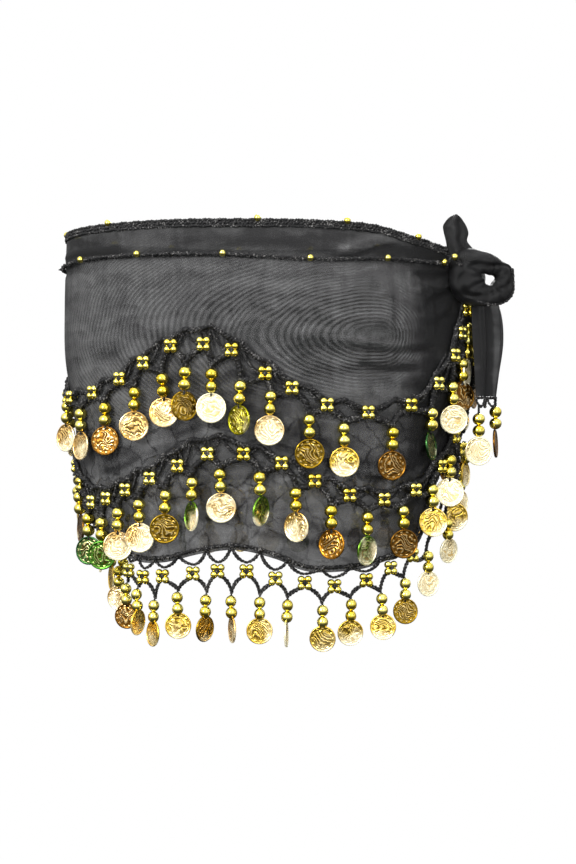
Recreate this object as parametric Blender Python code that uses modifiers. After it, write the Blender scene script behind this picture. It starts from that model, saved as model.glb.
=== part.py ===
# Belly dance hip scarf: one chiffon strip worn round the hips and tied at the wearer's left hip, with
# crocheted edgings, three wavy crocheted nets and their fringes of beads and coins.
# Metres, +Z up. The front faces -Y and the wearer's left is +X. The origin is on the axis of the hips
# at the level of the knot. Angles are degrees round that axis, 0 at the front, positive to the left hip.

import math

import bmesh
import bpy
from mathutils import Vector

COLLECTION = "belly_dance_hip_scarf"
SHARP_ANGLE = 50             # edges that turn further than this are shaded as edges
FINE_STEPS = 20              # samples between two rows of a table

# Driving dimensions
CLOTH_WALL = 0.0012          # the sheer cloth, as a wall that can be built
SEAM_GAP = 0.0003            # clear space between two pieces that meet
COLUMN_STEP = 0.0135         # spacing of a cloth wall's columns along its widest edge
CLOTH_ROWS = 9               # spaces between a cloth column's points, top to hem
TRIM_LIFT = 0.0023           # from the hips' surface to the inner face of what is sewn on the cloth
NET_WALL = 0.0012
FRINGE_LIFT = 0.0048
HEM_FRINGE_LIFT = 0.0006     # the hem's fringe hangs free below the cloth, behind row 2's
FRINGE_WALL = 0.0030
PENDANT_PITCH = 0.0257       # from one pendant to the next along a net
PENDANT_DROP = 0.0350        # two 9 mm beads and a 22 mm coin, from the net to the coin's lowest point
SCALLOP_RISE = 0.0090        # how far a fringe's edge rises between two coins
NET_RISE = 0.0060            # how far a net's edge rises between two pendants
LEAST_FRINGED_NET = 0.0180   # a net gathered narrower than this carries no pendants
TOP_EDGING_HEIGHT = 0.0058
TOP_EDGING_WALL = 0.0026
TOP_EDGING_ENDS = (-285, 56)   # angles at its two ends
WAIST_CHAIN_HEIGHT = 0.0036
WAIST_CHAIN_WALL = 0.0018

# Where the ring of cloth is parted into stretches, as angles
BACK_END_SEAM = -240
BACK_SEAM = -118
SIDE_SEAM = -60
FRONT_END_SEAM = 42

# The general figure's hips: height, half width, half depth
HIPS = (
    (0.040, 0.1635, 0.1045),
    (-0.030, 0.1655, 0.1075),
    (-0.070, 0.1650, 0.1085),
    (-0.105, 0.1605, 0.1070),
    (-0.150, 0.1540, 0.1045),
    (-0.200, 0.1490, 0.1010),
    (-0.250, 0.1460, 0.0985),
    (-0.320, 0.1440, 0.0970),
)

# The strip of cloth from its back end, round the back, right side and front, to its front end:
# top edge's angle and height, hem's angle and height. Both ends fan in to the knot.
CLOTH = (
    (-291.0, 0.0010, -284.0, -0.0140),
    (-288.5, 0.0055, -278.0, -0.0330),
    (-285.0, 0.0100, -273.0, -0.0550),
    (-281.0, 0.0138, -269.0, -0.0780),
    (-276.0, 0.0165, -266.0, -0.1000),
    (-270.0, 0.0185, -262.0, -0.1220),
    (-262.0, 0.0200, -256.0, -0.1400),
    (-252.0, 0.0207, -249.0, -0.1500),
    (-240.0, 0.0210, -240.0, -0.1600),
    (-225.0, 0.0210, -225.0, -0.1660),
    (-210.0, 0.0210, -210.0, -0.1700),
    (-189.0, 0.0210, -189.0, -0.1730),
    (-168.0, 0.0210, -168.0, -0.1750),
    (-145.0, 0.0210, -145.0, -0.1730),
    (-121.0, 0.0210, -121.0, -0.1700),
    (-105.0, 0.0207, -105.0, -0.1720),
    (-90.0, 0.0203, -90.0, -0.1790),
    (-75.0, 0.0203, -75.0, -0.1950),
    (-60.0, 0.0207, -60.0, -0.2170),
    (-45.0, 0.0207, -45.0, -0.2310),
    (-33.0, 0.0207, -33.0, -0.2320),
    (-20.0, 0.0205, -20.0, -0.2245),
    (-9.0, 0.0200, -9.0, -0.2215),
    (2.0, 0.0197, 2.0, -0.2280),
    (12.0, 0.0193, 12.0, -0.2378),
    (27.0, 0.0177, 27.0, -0.2370),
    (36.0, 0.0135, 36.0, -0.2320),
    (42.0, 0.0100, 42.0, -0.2275),
    (47.0, 0.0080, 47.0, -0.2235),
    (51.0, 0.0058, 51.0, -0.2090),
    (54.5, 0.0045, 55.0, -0.1870),
    (57.5, 0.0028, 59.0, -0.1700),
    (60.0, 0.0010, 64.0, -0.1570),
    (62.0, -0.0010, 71.0, -0.1440),
    (63.3, -0.0030, 79.0, -0.1280),
    (64.2, -0.0050, 84.0, -0.1050),
    (65.0, -0.0070, 83.0, -0.0750),
    (65.6, -0.0090, 79.0, -0.0460),
    (66.0, -0.0110, 73.0, -0.0220),
)

# The three crocheted nets: angle and height of the upper chain, depth of the net down to a pendant,
# and how far the net leans from straight down towards the front end's side of the knot, in degrees.
NET_1 = (
    (-280.0, -0.0080, 0.0060, -50),
    (-270.0, -0.0250, 0.0080, -45),
    (-262.0, -0.0450, 0.0130, -35),
    (-252.0, -0.0640, 0.0200, -15),
    (-240.0, -0.0760, 0.0250, 0),
    (-225.0, -0.0650, 0.0290, 0),
    (-210.0, -0.0520, 0.0340, 0),
    (-189.0, -0.0730, 0.0260, 0),
    (-168.0, -0.0960, 0.0210, 0),
    (-145.0, -0.0760, 0.0260, 0),
    (-121.0, -0.0520, 0.0340, 0),
    (-105.0, -0.0760, 0.0260, 0),
    (-90.0, -0.0970, 0.0200, 0),
    (-72.0, -0.1000, 0.0190, 0),
    (-58.0, -0.0980, 0.0190, 0),
    (-50.0, -0.0925, 0.0200, 0),
    (-40.0, -0.0810, 0.0240, 0),
    (-30.0, -0.0650, 0.0290, 0),
    (-20.0, -0.0550, 0.0340, 0),
    (-13.0, -0.0550, 0.0350, 0),
    (-6.0, -0.0680, 0.0310, 0),
    (3.0, -0.0860, 0.0250, 0),
    (12.0, -0.1010, 0.0230, 0),
    (21.0, -0.1090, 0.0210, 0),
    (33.0, -0.1095, 0.0240, 0),
    (43.0, -0.1020, 0.0260, 5),
    (49.0, -0.0920, 0.0280, 15),
    (54.0, -0.0730, 0.0270, 30),
    (59.0, -0.0520, 0.0210, 45),
    (63.0, -0.0310, 0.0130, 55),
    (65.0, -0.0170, 0.0080, 60),
)
NET_2 = (
    (-272.0, -0.0400, 0.0050, -50),
    (-265.5, -0.0620, 0.0060, -50),
    (-260.0, -0.0840, 0.0100, -35),
    (-253.0, -0.1050, 0.0190, -15),
    (-240.0, -0.1240, 0.0260, 0),
    (-225.0, -0.1220, 0.0280, 0),
    (-210.0, -0.1180, 0.0300, 0),
    (-189.0, -0.1300, 0.0250, 0),
    (-168.0, -0.1420, 0.0220, 0),
    (-145.0, -0.1300, 0.0250, 0),
    (-121.0, -0.1200, 0.0300, 0),
    (-105.0, -0.1330, 0.0270, 0),
    (-90.0, -0.1460, 0.0230, 0),
    (-75.0, -0.1640, 0.0230, 0),
    (-60.0, -0.1745, 0.0270, 0),
    (-50.0, -0.1715, 0.0250, 0),
    (-41.0, -0.1625, 0.0265, 0),
    (-32.0, -0.1530, 0.0290, 0),
    (-22.0, -0.1390, 0.0320, 0),
    (-12.0, -0.1350, 0.0300, 0),
    (-4.0, -0.1420, 0.0245, 0),
    (4.0, -0.1500, 0.0230, 0),
    (11.0, -0.1610, 0.0220, 0),
    (20.0, -0.1690, 0.0230, 0),
    (30.0, -0.1745, 0.0230, 0),
    (42.0, -0.1720, 0.0210, 0),
    (50.0, -0.1640, 0.0220, 5),
    (56.0, -0.1520, 0.0190, 10),
    (62.0, -0.1380, 0.0120, 25),
    (68.0, -0.1220, 0.0100, 45),
    (73.0, -0.1020, 0.0090, 65),
    (74.0, -0.0780, 0.0080, 85),
    (72.5, -0.0540, 0.0060, 100),
    (70.0, -0.0340, 0.0050, 105),
)
HEM_NET = (
    (-275.0, -0.0460, 0.0060, -70),
    (-269.5, -0.0760, 0.0080, -70),
    (-265.5, -0.0980, 0.0100, -65),
    (-261.0, -0.1185, 0.0150, -50),
    (-255.0, -0.1370, 0.0230, -25),
    (-248.0, -0.1470, 0.0290, -10),
    (-240.0, -0.1560, 0.0320, 0),
    (-225.0, -0.1620, 0.0340, 0),
    (-210.0, -0.1660, 0.0360, 0),
    (-189.0, -0.1690, 0.0340, 0),
    (-168.0, -0.1710, 0.0320, 0),
    (-145.0, -0.1690, 0.0340, 0),
    (-121.0, -0.1660, 0.0360, 0),
    (-105.0, -0.1680, 0.0350, 0),
    (-90.0, -0.1750, 0.0340, 0),
    (-75.0, -0.1910, 0.0330, 0),
    (-60.0, -0.2130, 0.0320, 0),
    (-45.0, -0.2270, 0.0330, 0),
    (-33.0, -0.2280, 0.0330, 0),
    (-20.0, -0.2205, 0.0375, 0),
    (-9.0, -0.2175, 0.0415, 0),
    (2.0, -0.2240, 0.0370, 0),
    (12.0, -0.2338, 0.0320, 0),
    (27.0, -0.2330, 0.0300, 0),
    (36.0, -0.2280, 0.0300, 0),
    (42.0, -0.2235, 0.0270, 5),
    (47.0, -0.2190, 0.0280, 15),
    (51.0, -0.2040, 0.0290, 30),
    (55.0, -0.1830, 0.0280, 45),
    (59.0, -0.1660, 0.0250, 45),
    (64.0, -0.1530, 0.0220, 45),
    (71.0, -0.1400, 0.0190, 50),
    (78.0, -0.1250, 0.0130, 60),
    (82.5, -0.1040, 0.0090, 80),
    (81.5, -0.0760, 0.0080, 95),
    (78.0, -0.0490, 0.0060, 110),
)

# The second crocheted chain, sewn across the cloth below its top edge: angle, height of its middle
WAIST_CHAIN = (
    (-285.0, 0.0020),
    (-275.0, -0.0005),
    (-262.0, -0.0010),
    (-240.0, -0.0010),
    (-180.0, -0.0010),
    (-120.0, -0.0010),
    (-90.0, -0.0020),
    (-60.0, 0.0005),
    (-36.0, 0.0010),
    (-12.0, -0.0005),
    (11.0, -0.0040),
    (32.0, -0.0025),
    (53.0, -0.0030),
    (56.0, -0.0020),
)

# The tail of the tie, hanging from the knot: height, distance out of the hips at its front and back
# edges, angle of its front and back edges
TAIL = (
    (-0.0220, 0.0130, 0.0170, 63.0, 76.5),
    (-0.0400, 0.0125, 0.0205, 62.5, 79.0),
    (-0.0600, 0.0125, 0.0215, 63.0, 79.5),
    (-0.0820, 0.0130, 0.0205, 64.0, 79.0),
    (-0.1050, 0.0140, 0.0190, 65.5, 78.5),
)
TAIL_FOLDS = (0.0, 0.0022, -0.0010, 0.0030, 0.0)   # how far each fifth of the tail stands out
TAIL_NET_DEPTH = 0.0080
TAIL_FRINGE_DEPTH = 0.0300

# The ear of the tie, a flat folded end that points up from the knot: height, its two edges in X
EAR = (
    (0.0080, 0.1405, 0.1530),
    (0.0150, 0.1380, 0.1545),
    (0.0230, 0.1360, 0.1550),
    (0.0290, 0.1395, 0.1515),
    (0.0350, 0.1440, 0.1470),
)
EAR_WALL = 0.0024            # two layers, folded
EAR_DEPTH = -0.0590          # Y of its middle
EAR_CROWN = 0.0030           # how far its middle stands forward

# The loop of the half bow, a puffed fold round a small hole: direction round the hole in degrees,
# distance from the hole's middle to the loop's outline
LOOP = (
    (0, 0.0205),
    (40, 0.0185),
    (80, 0.0165),
    (125, 0.0225),
    (160, 0.0160),
    (200, 0.0140),
    (250, 0.0205),
    (290, 0.0220),
    (325, 0.0205),
)
LOOP_SECTIONS = 20
LOOP_CENTRE = (0.1722, -0.0755, -0.0130)
LOOP_TURN = 18               # how far the loop's face turns to the wearer's left, in degrees
LOOP_WALL = 0.0016
# Across the fold, from the hole out and round to the back: share of the outline's distance, depth
LOOP_FOLD = (
    (0.24, 0.0090),
    (0.34, -0.0020),
    (0.62, -0.0060),
    (0.90, -0.0020),
    (1.00, 0.0050),
    (0.95, 0.0110),
)

KNOT_ANGLE = 61.0
KNOT_HEIGHT = -0.0080
KNOT_LIFT = 0.0118
KNOT_HALF_SIZE = (0.0080, 0.0070, 0.0150)   # along the hips, out of them, up

SWELL_ANGLE = 66.0           # the gathered cloth stands out a little under the knot
SWELL_SPREAD = 10.0
SWELL_HEIGHT = 0.0450
SWELL = 0.0015


def lerp(a, b, t):
    return a + (b - a) * t


def through(rows, place):
    """The values of a table's columns at a place between its rows, on a smooth curve through them."""
    last = len(rows) - 1
    i = min(int(place), last - 1)
    t = place - i
    before, a, b, after = rows[max(i - 1, 0)], rows[i], rows[i + 1], rows[min(i + 2, last)]
    return tuple(
        0.5 * (2 * q + (r - p) * t + (2 * p - 5 * q + 4 * r - s) * t**2 + (3 * q - p - 3 * r + s) * t**3)
        for p, q, r, s in zip(before, a, b, after)
    )


def hips_size(height):
    """Half width and half depth of the hips at a height."""
    rows = HIPS
    place = 0.0
    for i in range(len(rows) - 1):
        if height <= rows[i][0]:
            place = i + min((rows[i][0] - height) / (rows[i][0] - rows[i + 1][0]), 1.0)
    return through(rows, place)[1:]


def on_hips(angle, height, lift=0.0):
    """A point on the hips' surface, moved out of it by lift."""
    half_width, half_depth = hips_size(height)
    turn = math.radians(angle)
    out = Vector((math.sin(turn) / half_width, -math.cos(turn) / half_depth, 0)).normalized()
    from_knot = (angle - SWELL_ANGLE + 180) % 360 - 180
    lift += SWELL * math.exp(-((from_knot / SWELL_SPREAD) ** 2) - (height / SWELL_HEIGHT) ** 2)
    return Vector((half_width * math.sin(turn), -half_depth * math.cos(turn), height)) + out * lift


def spaced(rows, step):
    """A table's curve read at even steps along the hips, measured on its last angle and height."""
    at = 2 if rows is CLOTH else 0
    fine = [through(rows, k / FINE_STEPS) for k in range(FINE_STEPS * (len(rows) - 1) + 1)]
    run = [0.0]
    for a, b in zip(fine, fine[1:]):
        run.append(run[-1] + (on_hips(b[at], b[at + 1]) - on_hips(a[at], a[at + 1])).length)
    count = max(2, round(run[-1] / step))
    found, k = [], 0
    for n in range(count + 1):
        goal = run[-1] * n / count
        while k < len(run) - 2 and run[k + 1] < goal:
            k += 1
        t = (goal - run[k]) / (run[k + 1] - run[k])
        found.append(tuple(lerp(a, b, t) for a, b in zip(fine[k], fine[k + 1])))
    return found


def stretches(columns, seams, at=0):
    """The columns parted at the seams' angles, each part drawn back from the seam by half its gap."""
    cuts = [0]
    for seam in seams:
        cuts.append(min(range(len(columns)), key=lambda i: abs(columns[i][at] - seam)))
    cuts.append(len(columns) - 1)
    parts = []
    for first, last in zip(cuts, cuts[1:]):
        part = list(columns[first:last + 1])
        share = SEAM_GAP / 2 / COLUMN_STEP
        if first > 0:
            part[0] = tuple(lerp(a, b, share) for a, b in zip(part[0], part[1]))
        if last < len(columns) - 1:
            part[-1] = tuple(lerp(a, b, share) for a, b in zip(part[-1], part[-2]))
        parts.append(part)
    return parts


def make_finish(name, colour, roughness, metallic=0.0):
    finish = bpy.data.materials.new(name)
    finish.use_nodes = True
    shader = finish.node_tree.nodes["Principled BSDF"]
    shader.inputs["Base Color"].default_value = (*colour, 1)
    shader.inputs["Roughness"].default_value = roughness
    shader.inputs["Metallic"].default_value = metallic
    return finish


def make_object(name, bm, finish):
    mesh = bpy.data.meshes.new(name)
    bm.to_mesh(mesh)
    bm.free()
    mesh.shade_smooth()
    mesh.set_sharp_from_angle(angle=math.radians(SHARP_ANGLE))
    mesh.materials.append(finish)
    obj = bpy.data.objects.new(name, mesh)
    bpy.data.collections[COLLECTION].objects.link(obj)
    return obj


def make_wall(name, columns, wall, finish, closed=False):
    """A wall of even thickness on a loft of columns of points. The points are its inner face."""
    bm = bmesh.new()
    grid = [[bm.verts.new(point) for point in column] for column in columns]
    pairs = list(zip(grid, grid[1:]))
    if closed:
        pairs.append((grid[-1], grid[0]))
    for left, right in pairs:
        for upper in range(len(left) - 1):
            bm.faces.new((left[upper], left[upper + 1], right[upper + 1], right[upper]))
    obj = make_object(name, bm, finish)
    thicken = obj.modifiers.new("Wall", "SOLIDIFY")
    thicken.thickness = wall
    thicken.offset = 1.0
    return obj


def build_cloth(finish):
    names = ("cloth_back_end", "cloth_back", "cloth_right_side", "cloth_front", "cloth_front_end")
    seams = (BACK_END_SEAM, BACK_SEAM, SIDE_SEAM, FRONT_END_SEAM)
    for name, part in zip(names, stretches(spaced(CLOTH, COLUMN_STEP), seams)):
        columns = []
        for top_angle, top, hem_angle, hem in part:
            shares = [row / CLOTH_ROWS for row in range(CLOTH_ROWS + 1)]
            columns.append([on_hips(lerp(top_angle, hem_angle, t), lerp(top, hem, t)) for t in shares])
        make_wall(name, columns, CLOTH_WALL, finish)


def build_band(stem, rows, height, low, lift, wall, finish):
    """A narrow band along a line of angles and heights, in three stretches."""
    for place, part in zip(("back", "right_side", "front"), stretches(rows, (BACK_SEAM, SIDE_SEAM))):
        columns = [
            [on_hips(angle, z + low + height, lift), on_hips(angle, z + low, lift)] for angle, z in part
        ]
        make_wall(f"{stem}_{place}", columns, wall, finish)


def build_edgings(finish):
    start, end = TOP_EDGING_ENDS
    top_line = [(angle, top) for angle, top, _, _ in spaced(CLOTH, COLUMN_STEP) if start < angle < end]
    edging_lift = (CLOTH_WALL - TOP_EDGING_WALL) / 2
    build_band("top_edging", top_line, TOP_EDGING_HEIGHT, SEAM_GAP, edging_lift, TOP_EDGING_WALL, finish)
    chain = spaced(WAIST_CHAIN, COLUMN_STEP)
    low = -WAIST_CHAIN_HEIGHT / 2
    build_band("waist_chain", chain, WAIST_CHAIN_HEIGHT, low, TRIM_LIFT, WAIST_CHAIN_WALL, finish)


def below(angle, height, depth, lean):
    """The angle and height of a place below another on the hips, along a line that leans sideways."""
    half_width, half_depth = hips_size(height)
    turn = math.radians(angle)
    per_degree = math.radians(math.hypot(half_width * math.cos(turn), half_depth * math.sin(turn)))
    sideways = depth * math.sin(math.radians(lean))
    return angle + sideways / per_degree, height - depth * math.cos(math.radians(lean))


def build_row(stem, table, net_lift, fringe_lift, thread, gilt):
    """A net with its lower edge drawn down at each pendant, and the fringe of its pendants' reach."""
    columns = spaced(table, PENDANT_PITCH / 2)
    marked = [(*column, index % 2) for index, column in enumerate(columns)]
    places = ("back", "right_side", "front")
    for place, part in zip(places, stretches(marked, (BACK_SEAM, SIDE_SEAM))):
        net, fringe = [], []
        for angle, height, depth, lean, between in part:
            rise = NET_RISE * between * min(1.0, depth / LEAST_FRINGED_NET)
            levels = (0.0, (depth - rise) / 2, depth - rise)
            net.append([on_hips(*below(angle, height, level, lean), net_lift) for level in levels])
            if depth < LEAST_FRINGED_NET:
                continue
            upper = depth - rise + 2 * SEAM_GAP
            lower = depth + PENDANT_DROP * (1 - 0.5 * abs(lean) / 90) - SCALLOP_RISE * between
            levels = (upper, (upper + lower) / 2, lower)
            fringe.append([on_hips(*below(angle, height, level, lean), fringe_lift) for level in levels])
        make_wall(f"{stem}_net_{place}", net, NET_WALL, thread)
        make_wall(f"{stem}_coin_fringe_{place}", fringe, FRINGE_WALL, gilt)


def tail_point(row, share, stand):
    height, front_lift, back_lift, front_angle, back_angle = row
    return on_hips(lerp(front_angle, back_angle, share), height, lerp(front_lift, back_lift, share) + stand)


def build_tail(chiffon, thread, gilt):
    shares = [n / (len(TAIL_FOLDS) - 1) for n in range(len(TAIL_FOLDS))]
    rows = [through(TAIL, k / 2) for k in range(2 * len(TAIL) - 1)]
    columns = [[tail_point(row, share, stand) for row in rows] for share, stand in zip(shares, TAIL_FOLDS)]
    make_wall("tie_tail", columns, CLOTH_WALL, chiffon)
    drops = (("tie_tail_edging", 0.0, TAIL_NET_DEPTH, NET_WALL, thread),
             ("tie_tail_coin_fringe", TAIL_NET_DEPTH, TAIL_FRINGE_DEPTH, FRINGE_WALL, gilt))
    for name, start, depth, wall, finish in drops:
        columns = []
        for share, stand in zip(shares, TAIL_FOLDS):
            foot = tail_point(TAIL[-1], share, stand)
            columns.append([foot - Vector((0, 0, start + SEAM_GAP)), foot - Vector((0, 0, start + depth))])
        make_wall(name, columns, wall, finish)


def build_ear(finish):
    columns = []
    for share in (0.0, 0.25, 0.5, 0.75, 1.0):
        crown = EAR_CROWN * math.sin(math.pi * share)
        rows = [through(EAR, k / 2) for k in range(2 * len(EAR) - 1)]
        columns.append([Vector((lerp(a, b, share), EAR_DEPTH - crown, z)) for z, a, b in reversed(rows)])
    make_wall("tie_ear", columns, EAR_WALL, finish)


def loop_radius(direction):
    """Distance from the hole's middle to the loop's outline, smooth all the way round."""
    rows = [(d - 360, r) for d, r in LOOP] + list(LOOP) + [(d + 360, r) for d, r in LOOP]
    for i in range(len(rows) - 1):
        if rows[i][0] <= direction < rows[i + 1][0]:
            return through(rows, i + (direction - rows[i][0]) / (rows[i + 1][0] - rows[i][0]))[1]


def build_loop(finish):
    turn = math.radians(LOOP_TURN)
    across = Vector((math.cos(turn), math.sin(turn), 0))
    inward = Vector((-math.sin(turn), math.cos(turn), 0))
    fold = [through(LOOP_FOLD, k / 2) for k in range(2 * len(LOOP_FOLD) - 1)]
    columns = []
    for n in range(LOOP_SECTIONS):
        direction = 360 * n / LOOP_SECTIONS
        radius = loop_radius(direction)
        ray = across * math.cos(math.radians(direction)) + Vector((0, 0, math.sin(math.radians(direction))))
        columns.append([Vector(LOOP_CENTRE) + ray * radius * share + inward * depth for share, depth in fold])
    make_wall("tie_loop", columns, LOOP_WALL, finish, closed=True)


def build_knot(finish):
    bm = bmesh.new()
    bmesh.ops.create_uvsphere(bm, u_segments=16, v_segments=10, radius=1.0)
    bmesh.ops.scale(bm, vec=KNOT_HALF_SIZE, verts=bm.verts)
    obj = make_object("tie_knot", bm, finish)
    obj.location = on_hips(KNOT_ANGLE, KNOT_HEIGHT, KNOT_LIFT)
    obj.rotation_euler.z = math.radians(KNOT_ANGLE)


def main():
    for obj in list(bpy.data.objects):
        bpy.data.objects.remove(obj)
    parts = bpy.data.collections.new(COLLECTION)
    bpy.context.scene.collection.children.link(parts)
    chiffon = make_finish("black_chiffon", (0.030, 0.030, 0.031), 0.75)
    thread = make_finish("black_crochet_thread", (0.012, 0.012, 0.013), 0.65)
    gilt = make_finish("gilt_metal", (0.80, 0.58, 0.16), 0.25, 1.0)
    build_cloth(chiffon)
    build_edgings(thread)
    build_row("row_1", NET_1, TRIM_LIFT, FRINGE_LIFT, thread, gilt)
    build_row("row_2", NET_2, TRIM_LIFT, FRINGE_LIFT, thread, gilt)
    build_row("hem", HEM_NET, TRIM_LIFT, HEM_FRINGE_LIFT, thread, gilt)
    build_knot(chiffon)
    build_loop(chiffon)
    build_ear(chiffon)
    build_tail(chiffon, thread, gilt)


main()
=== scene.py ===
import math
import random

import bmesh
import bpy
import numpy as np
from mathutils import Matrix, Vector


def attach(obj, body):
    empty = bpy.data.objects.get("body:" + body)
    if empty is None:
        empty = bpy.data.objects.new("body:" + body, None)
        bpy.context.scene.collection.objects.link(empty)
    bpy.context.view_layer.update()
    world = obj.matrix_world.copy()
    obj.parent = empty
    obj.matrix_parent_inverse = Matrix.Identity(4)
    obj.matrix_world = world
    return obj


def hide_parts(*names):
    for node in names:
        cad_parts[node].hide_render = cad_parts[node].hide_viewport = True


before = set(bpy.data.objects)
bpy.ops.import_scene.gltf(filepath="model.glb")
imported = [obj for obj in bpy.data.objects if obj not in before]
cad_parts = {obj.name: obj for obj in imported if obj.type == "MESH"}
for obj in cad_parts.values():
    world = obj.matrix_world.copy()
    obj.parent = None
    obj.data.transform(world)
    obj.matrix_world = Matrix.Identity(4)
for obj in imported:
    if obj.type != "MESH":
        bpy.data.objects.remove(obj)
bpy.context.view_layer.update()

print("frame loaded:", len(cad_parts), "nodes")

# The hips, and the lines of the scarf on them. Angles are degrees from the front, plus is the wearer's left,
# and lengths are in metres.

# height, half width, half depth
hipsShape = (
    (0.04, 0.1635, 0.1045), (-0.03, 0.1655, 0.1075), (-0.07, 0.165, 0.1085), (-0.105, 0.1605, 0.107),
    (-0.15, 0.154, 0.1045), (-0.2, 0.149, 0.101), (-0.25, 0.146, 0.0985), (-0.32, 0.144, 0.097),
)
swell = {"angle": 66.0, "spread": 10.0, "height": 0.045, "lift": 0.0015}        # they stand out by the knot
meanHips = {"width": 0.16, "depth": 0.106}        # half sizes that directions are worked out from
netHips = {"width": 0.157, "depth": 0.105}        # and lengths along the nets

# top angle, top height, hem angle, hem height
clothTable = (
    (-291, 0.001, -284, -0.014), (-288.5, 0.003, -278, -0.033), (-285, 0.0048, -273, -0.055),
    (-281, 0.0064, -269, -0.078), (-276, 0.008, -266, -0.1), (-270, 0.0096, -262, -0.122),
    (-262, 0.0118, -256, -0.14), (-252, 0.0148, -249, -0.15), (-240, 0.018, -240, -0.16),
    (-225, 0.021, -225, -0.166), (-210, 0.021, -210, -0.17), (-189, 0.021, -189, -0.173),
    (-168, 0.021, -168, -0.175), (-145, 0.021, -145, -0.173), (-121, 0.021, -121, -0.17),
    (-105, 0.0207, -105, -0.172), (-90, 0.0203, -90, -0.179), (-75, 0.0203, -75, -0.195),
    (-60, 0.0207, -60, -0.217), (-45, 0.0207, -45, -0.231), (-33, 0.0207, -33, -0.232),
    (-20, 0.0205, -20, -0.2245), (-9, 0.02, -9, -0.2215), (2, 0.0197, 2, -0.228), (12, 0.0193, 12, -0.2378),
    (27, 0.0177, 27, -0.237), (36, 0.0135, 36, -0.232), (42, 0.01, 42, -0.2275), (47, 0.008, 47, -0.2235),
    (51, 0.0058, 51, -0.209), (54.5, 0.0045, 55, -0.187), (57.5, 0.0028, 59, -0.17),
    (60, 0.001, 64, -0.157), (62, -0.001, 71, -0.144), (63.3, -0.003, 79, -0.128),
    (64.2, -0.005, 84, -0.105), (65, -0.007, 83, -0.075), (65.6, -0.009, 79, -0.046),
    (66, -0.011, 73, -0.022),
)
# nets: angle and height of the upper chain, depth down to a pendant, lean towards the knot in degrees
netOne = (
    (-280, -0.008, 0.006, -50), (-270, -0.025, 0.008, -45), (-262, -0.045, 0.013, -35),
    (-252, -0.064, 0.02, -15), (-240, -0.076, 0.025, 0), (-225, -0.065, 0.029, 0), (-210, -0.052, 0.034, 0),
    (-189, -0.073, 0.026, 0), (-168, -0.096, 0.021, 0), (-145, -0.076, 0.026, 0), (-121, -0.052, 0.034, 0),
    (-105, -0.076, 0.026, 0), (-90, -0.097, 0.02, 0), (-72, -0.1, 0.019, 0), (-58, -0.098, 0.019, 0),
    (-50, -0.0925, 0.02, 0), (-40, -0.081, 0.024, 0), (-30, -0.065, 0.029, 0), (-20, -0.055, 0.034, 0),
    (-13, -0.055, 0.035, 0), (-6, -0.068, 0.031, 0), (3, -0.086, 0.025, 0), (12, -0.101, 0.023, 0),
    (21, -0.109, 0.021, 0), (33, -0.1095, 0.024, 0), (43, -0.102, 0.026, 5), (49, -0.092, 0.028, 15),
    (54, -0.073, 0.027, 30), (59, -0.052, 0.021, 45), (63, -0.031, 0.013, 55), (65, -0.017, 0.008, 60),
)
netTwo = (
    (-272, -0.04, 0.005, -50), (-265.5, -0.062, 0.006, -50), (-260, -0.084, 0.01, -35),
    (-253, -0.105, 0.019, -15), (-240, -0.124, 0.026, 0), (-225, -0.122, 0.028, 0), (-210, -0.118, 0.03, 0),
    (-189, -0.13, 0.025, 0), (-168, -0.142, 0.022, 0), (-145, -0.13, 0.025, 0), (-121, -0.12, 0.03, 0),
    (-105, -0.133, 0.027, 0), (-90, -0.146, 0.023, 0), (-75, -0.164, 0.023, 0), (-60, -0.1745, 0.027, 0),
    (-50, -0.1715, 0.025, 0), (-41, -0.1625, 0.0265, 0), (-32, -0.153, 0.029, 0), (-22, -0.139, 0.032, 0),
    (-12, -0.135, 0.03, 0), (-4, -0.142, 0.0245, 0), (4, -0.15, 0.023, 0), (11, -0.161, 0.022, 0),
    (20, -0.169, 0.023, 0), (30, -0.1745, 0.023, 0), (42, -0.172, 0.021, 0), (50, -0.164, 0.022, 5),
    (56, -0.152, 0.019, 10), (62, -0.138, 0.012, 25), (68, -0.122, 0.01, 45), (73, -0.102, 0.009, 65),
    (74, -0.078, 0.008, 85), (72.5, -0.054, 0.006, 100), (70, -0.034, 0.005, 105),
)
netHem = (
    (-275, -0.046, 0.006, -70), (-269.5, -0.076, 0.008, -70), (-265.5, -0.098, 0.01, -65),
    (-261, -0.1185, 0.015, -50), (-255, -0.137, 0.023, -25), (-248, -0.147, 0.029, -10),
    (-240, -0.156, 0.032, 0), (-225, -0.162, 0.034, 0), (-210, -0.166, 0.036, 0), (-189, -0.169, 0.034, 0),
    (-168, -0.171, 0.032, 0), (-145, -0.169, 0.034, 0), (-121, -0.166, 0.036, 0), (-105, -0.168, 0.035, 0),
    (-90, -0.175, 0.034, 0), (-75, -0.191, 0.033, 0), (-60, -0.213, 0.032, 0), (-45, -0.227, 0.033, 0),
    (-33, -0.228, 0.033, 0), (-20, -0.2205, 0.0375, 0), (-9, -0.2175, 0.0415, 0), (2, -0.224, 0.037, 0),
    (12, -0.2338, 0.032, 0), (27, -0.233, 0.03, 0), (36, -0.228, 0.03, 0), (42, -0.2235, 0.027, 5),
    (47, -0.219, 0.028, 15), (51, -0.204, 0.029, 30), (55, -0.183, 0.028, 45), (59, -0.166, 0.025, 45),
    (64, -0.153, 0.022, 45), (71, -0.14, 0.019, 50), (78, -0.125, 0.013, 60), (82.5, -0.104, 0.009, 80),
    (81.5, -0.076, 0.008, 95), (78, -0.049, 0.006, 110),
)
# angle, height
waistChain = (
    (-285, 0.002), (-275, -0.0005), (-262, -0.001), (-240, -0.001), (-180, -0.001), (-120, -0.001),
    (-90, -0.002), (-60, 0.0005), (-36, 0.001), (-12, -0.0005), (11, -0.004), (32, -0.0025), (53, -0.003),
    (56, -0.002),
)
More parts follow.
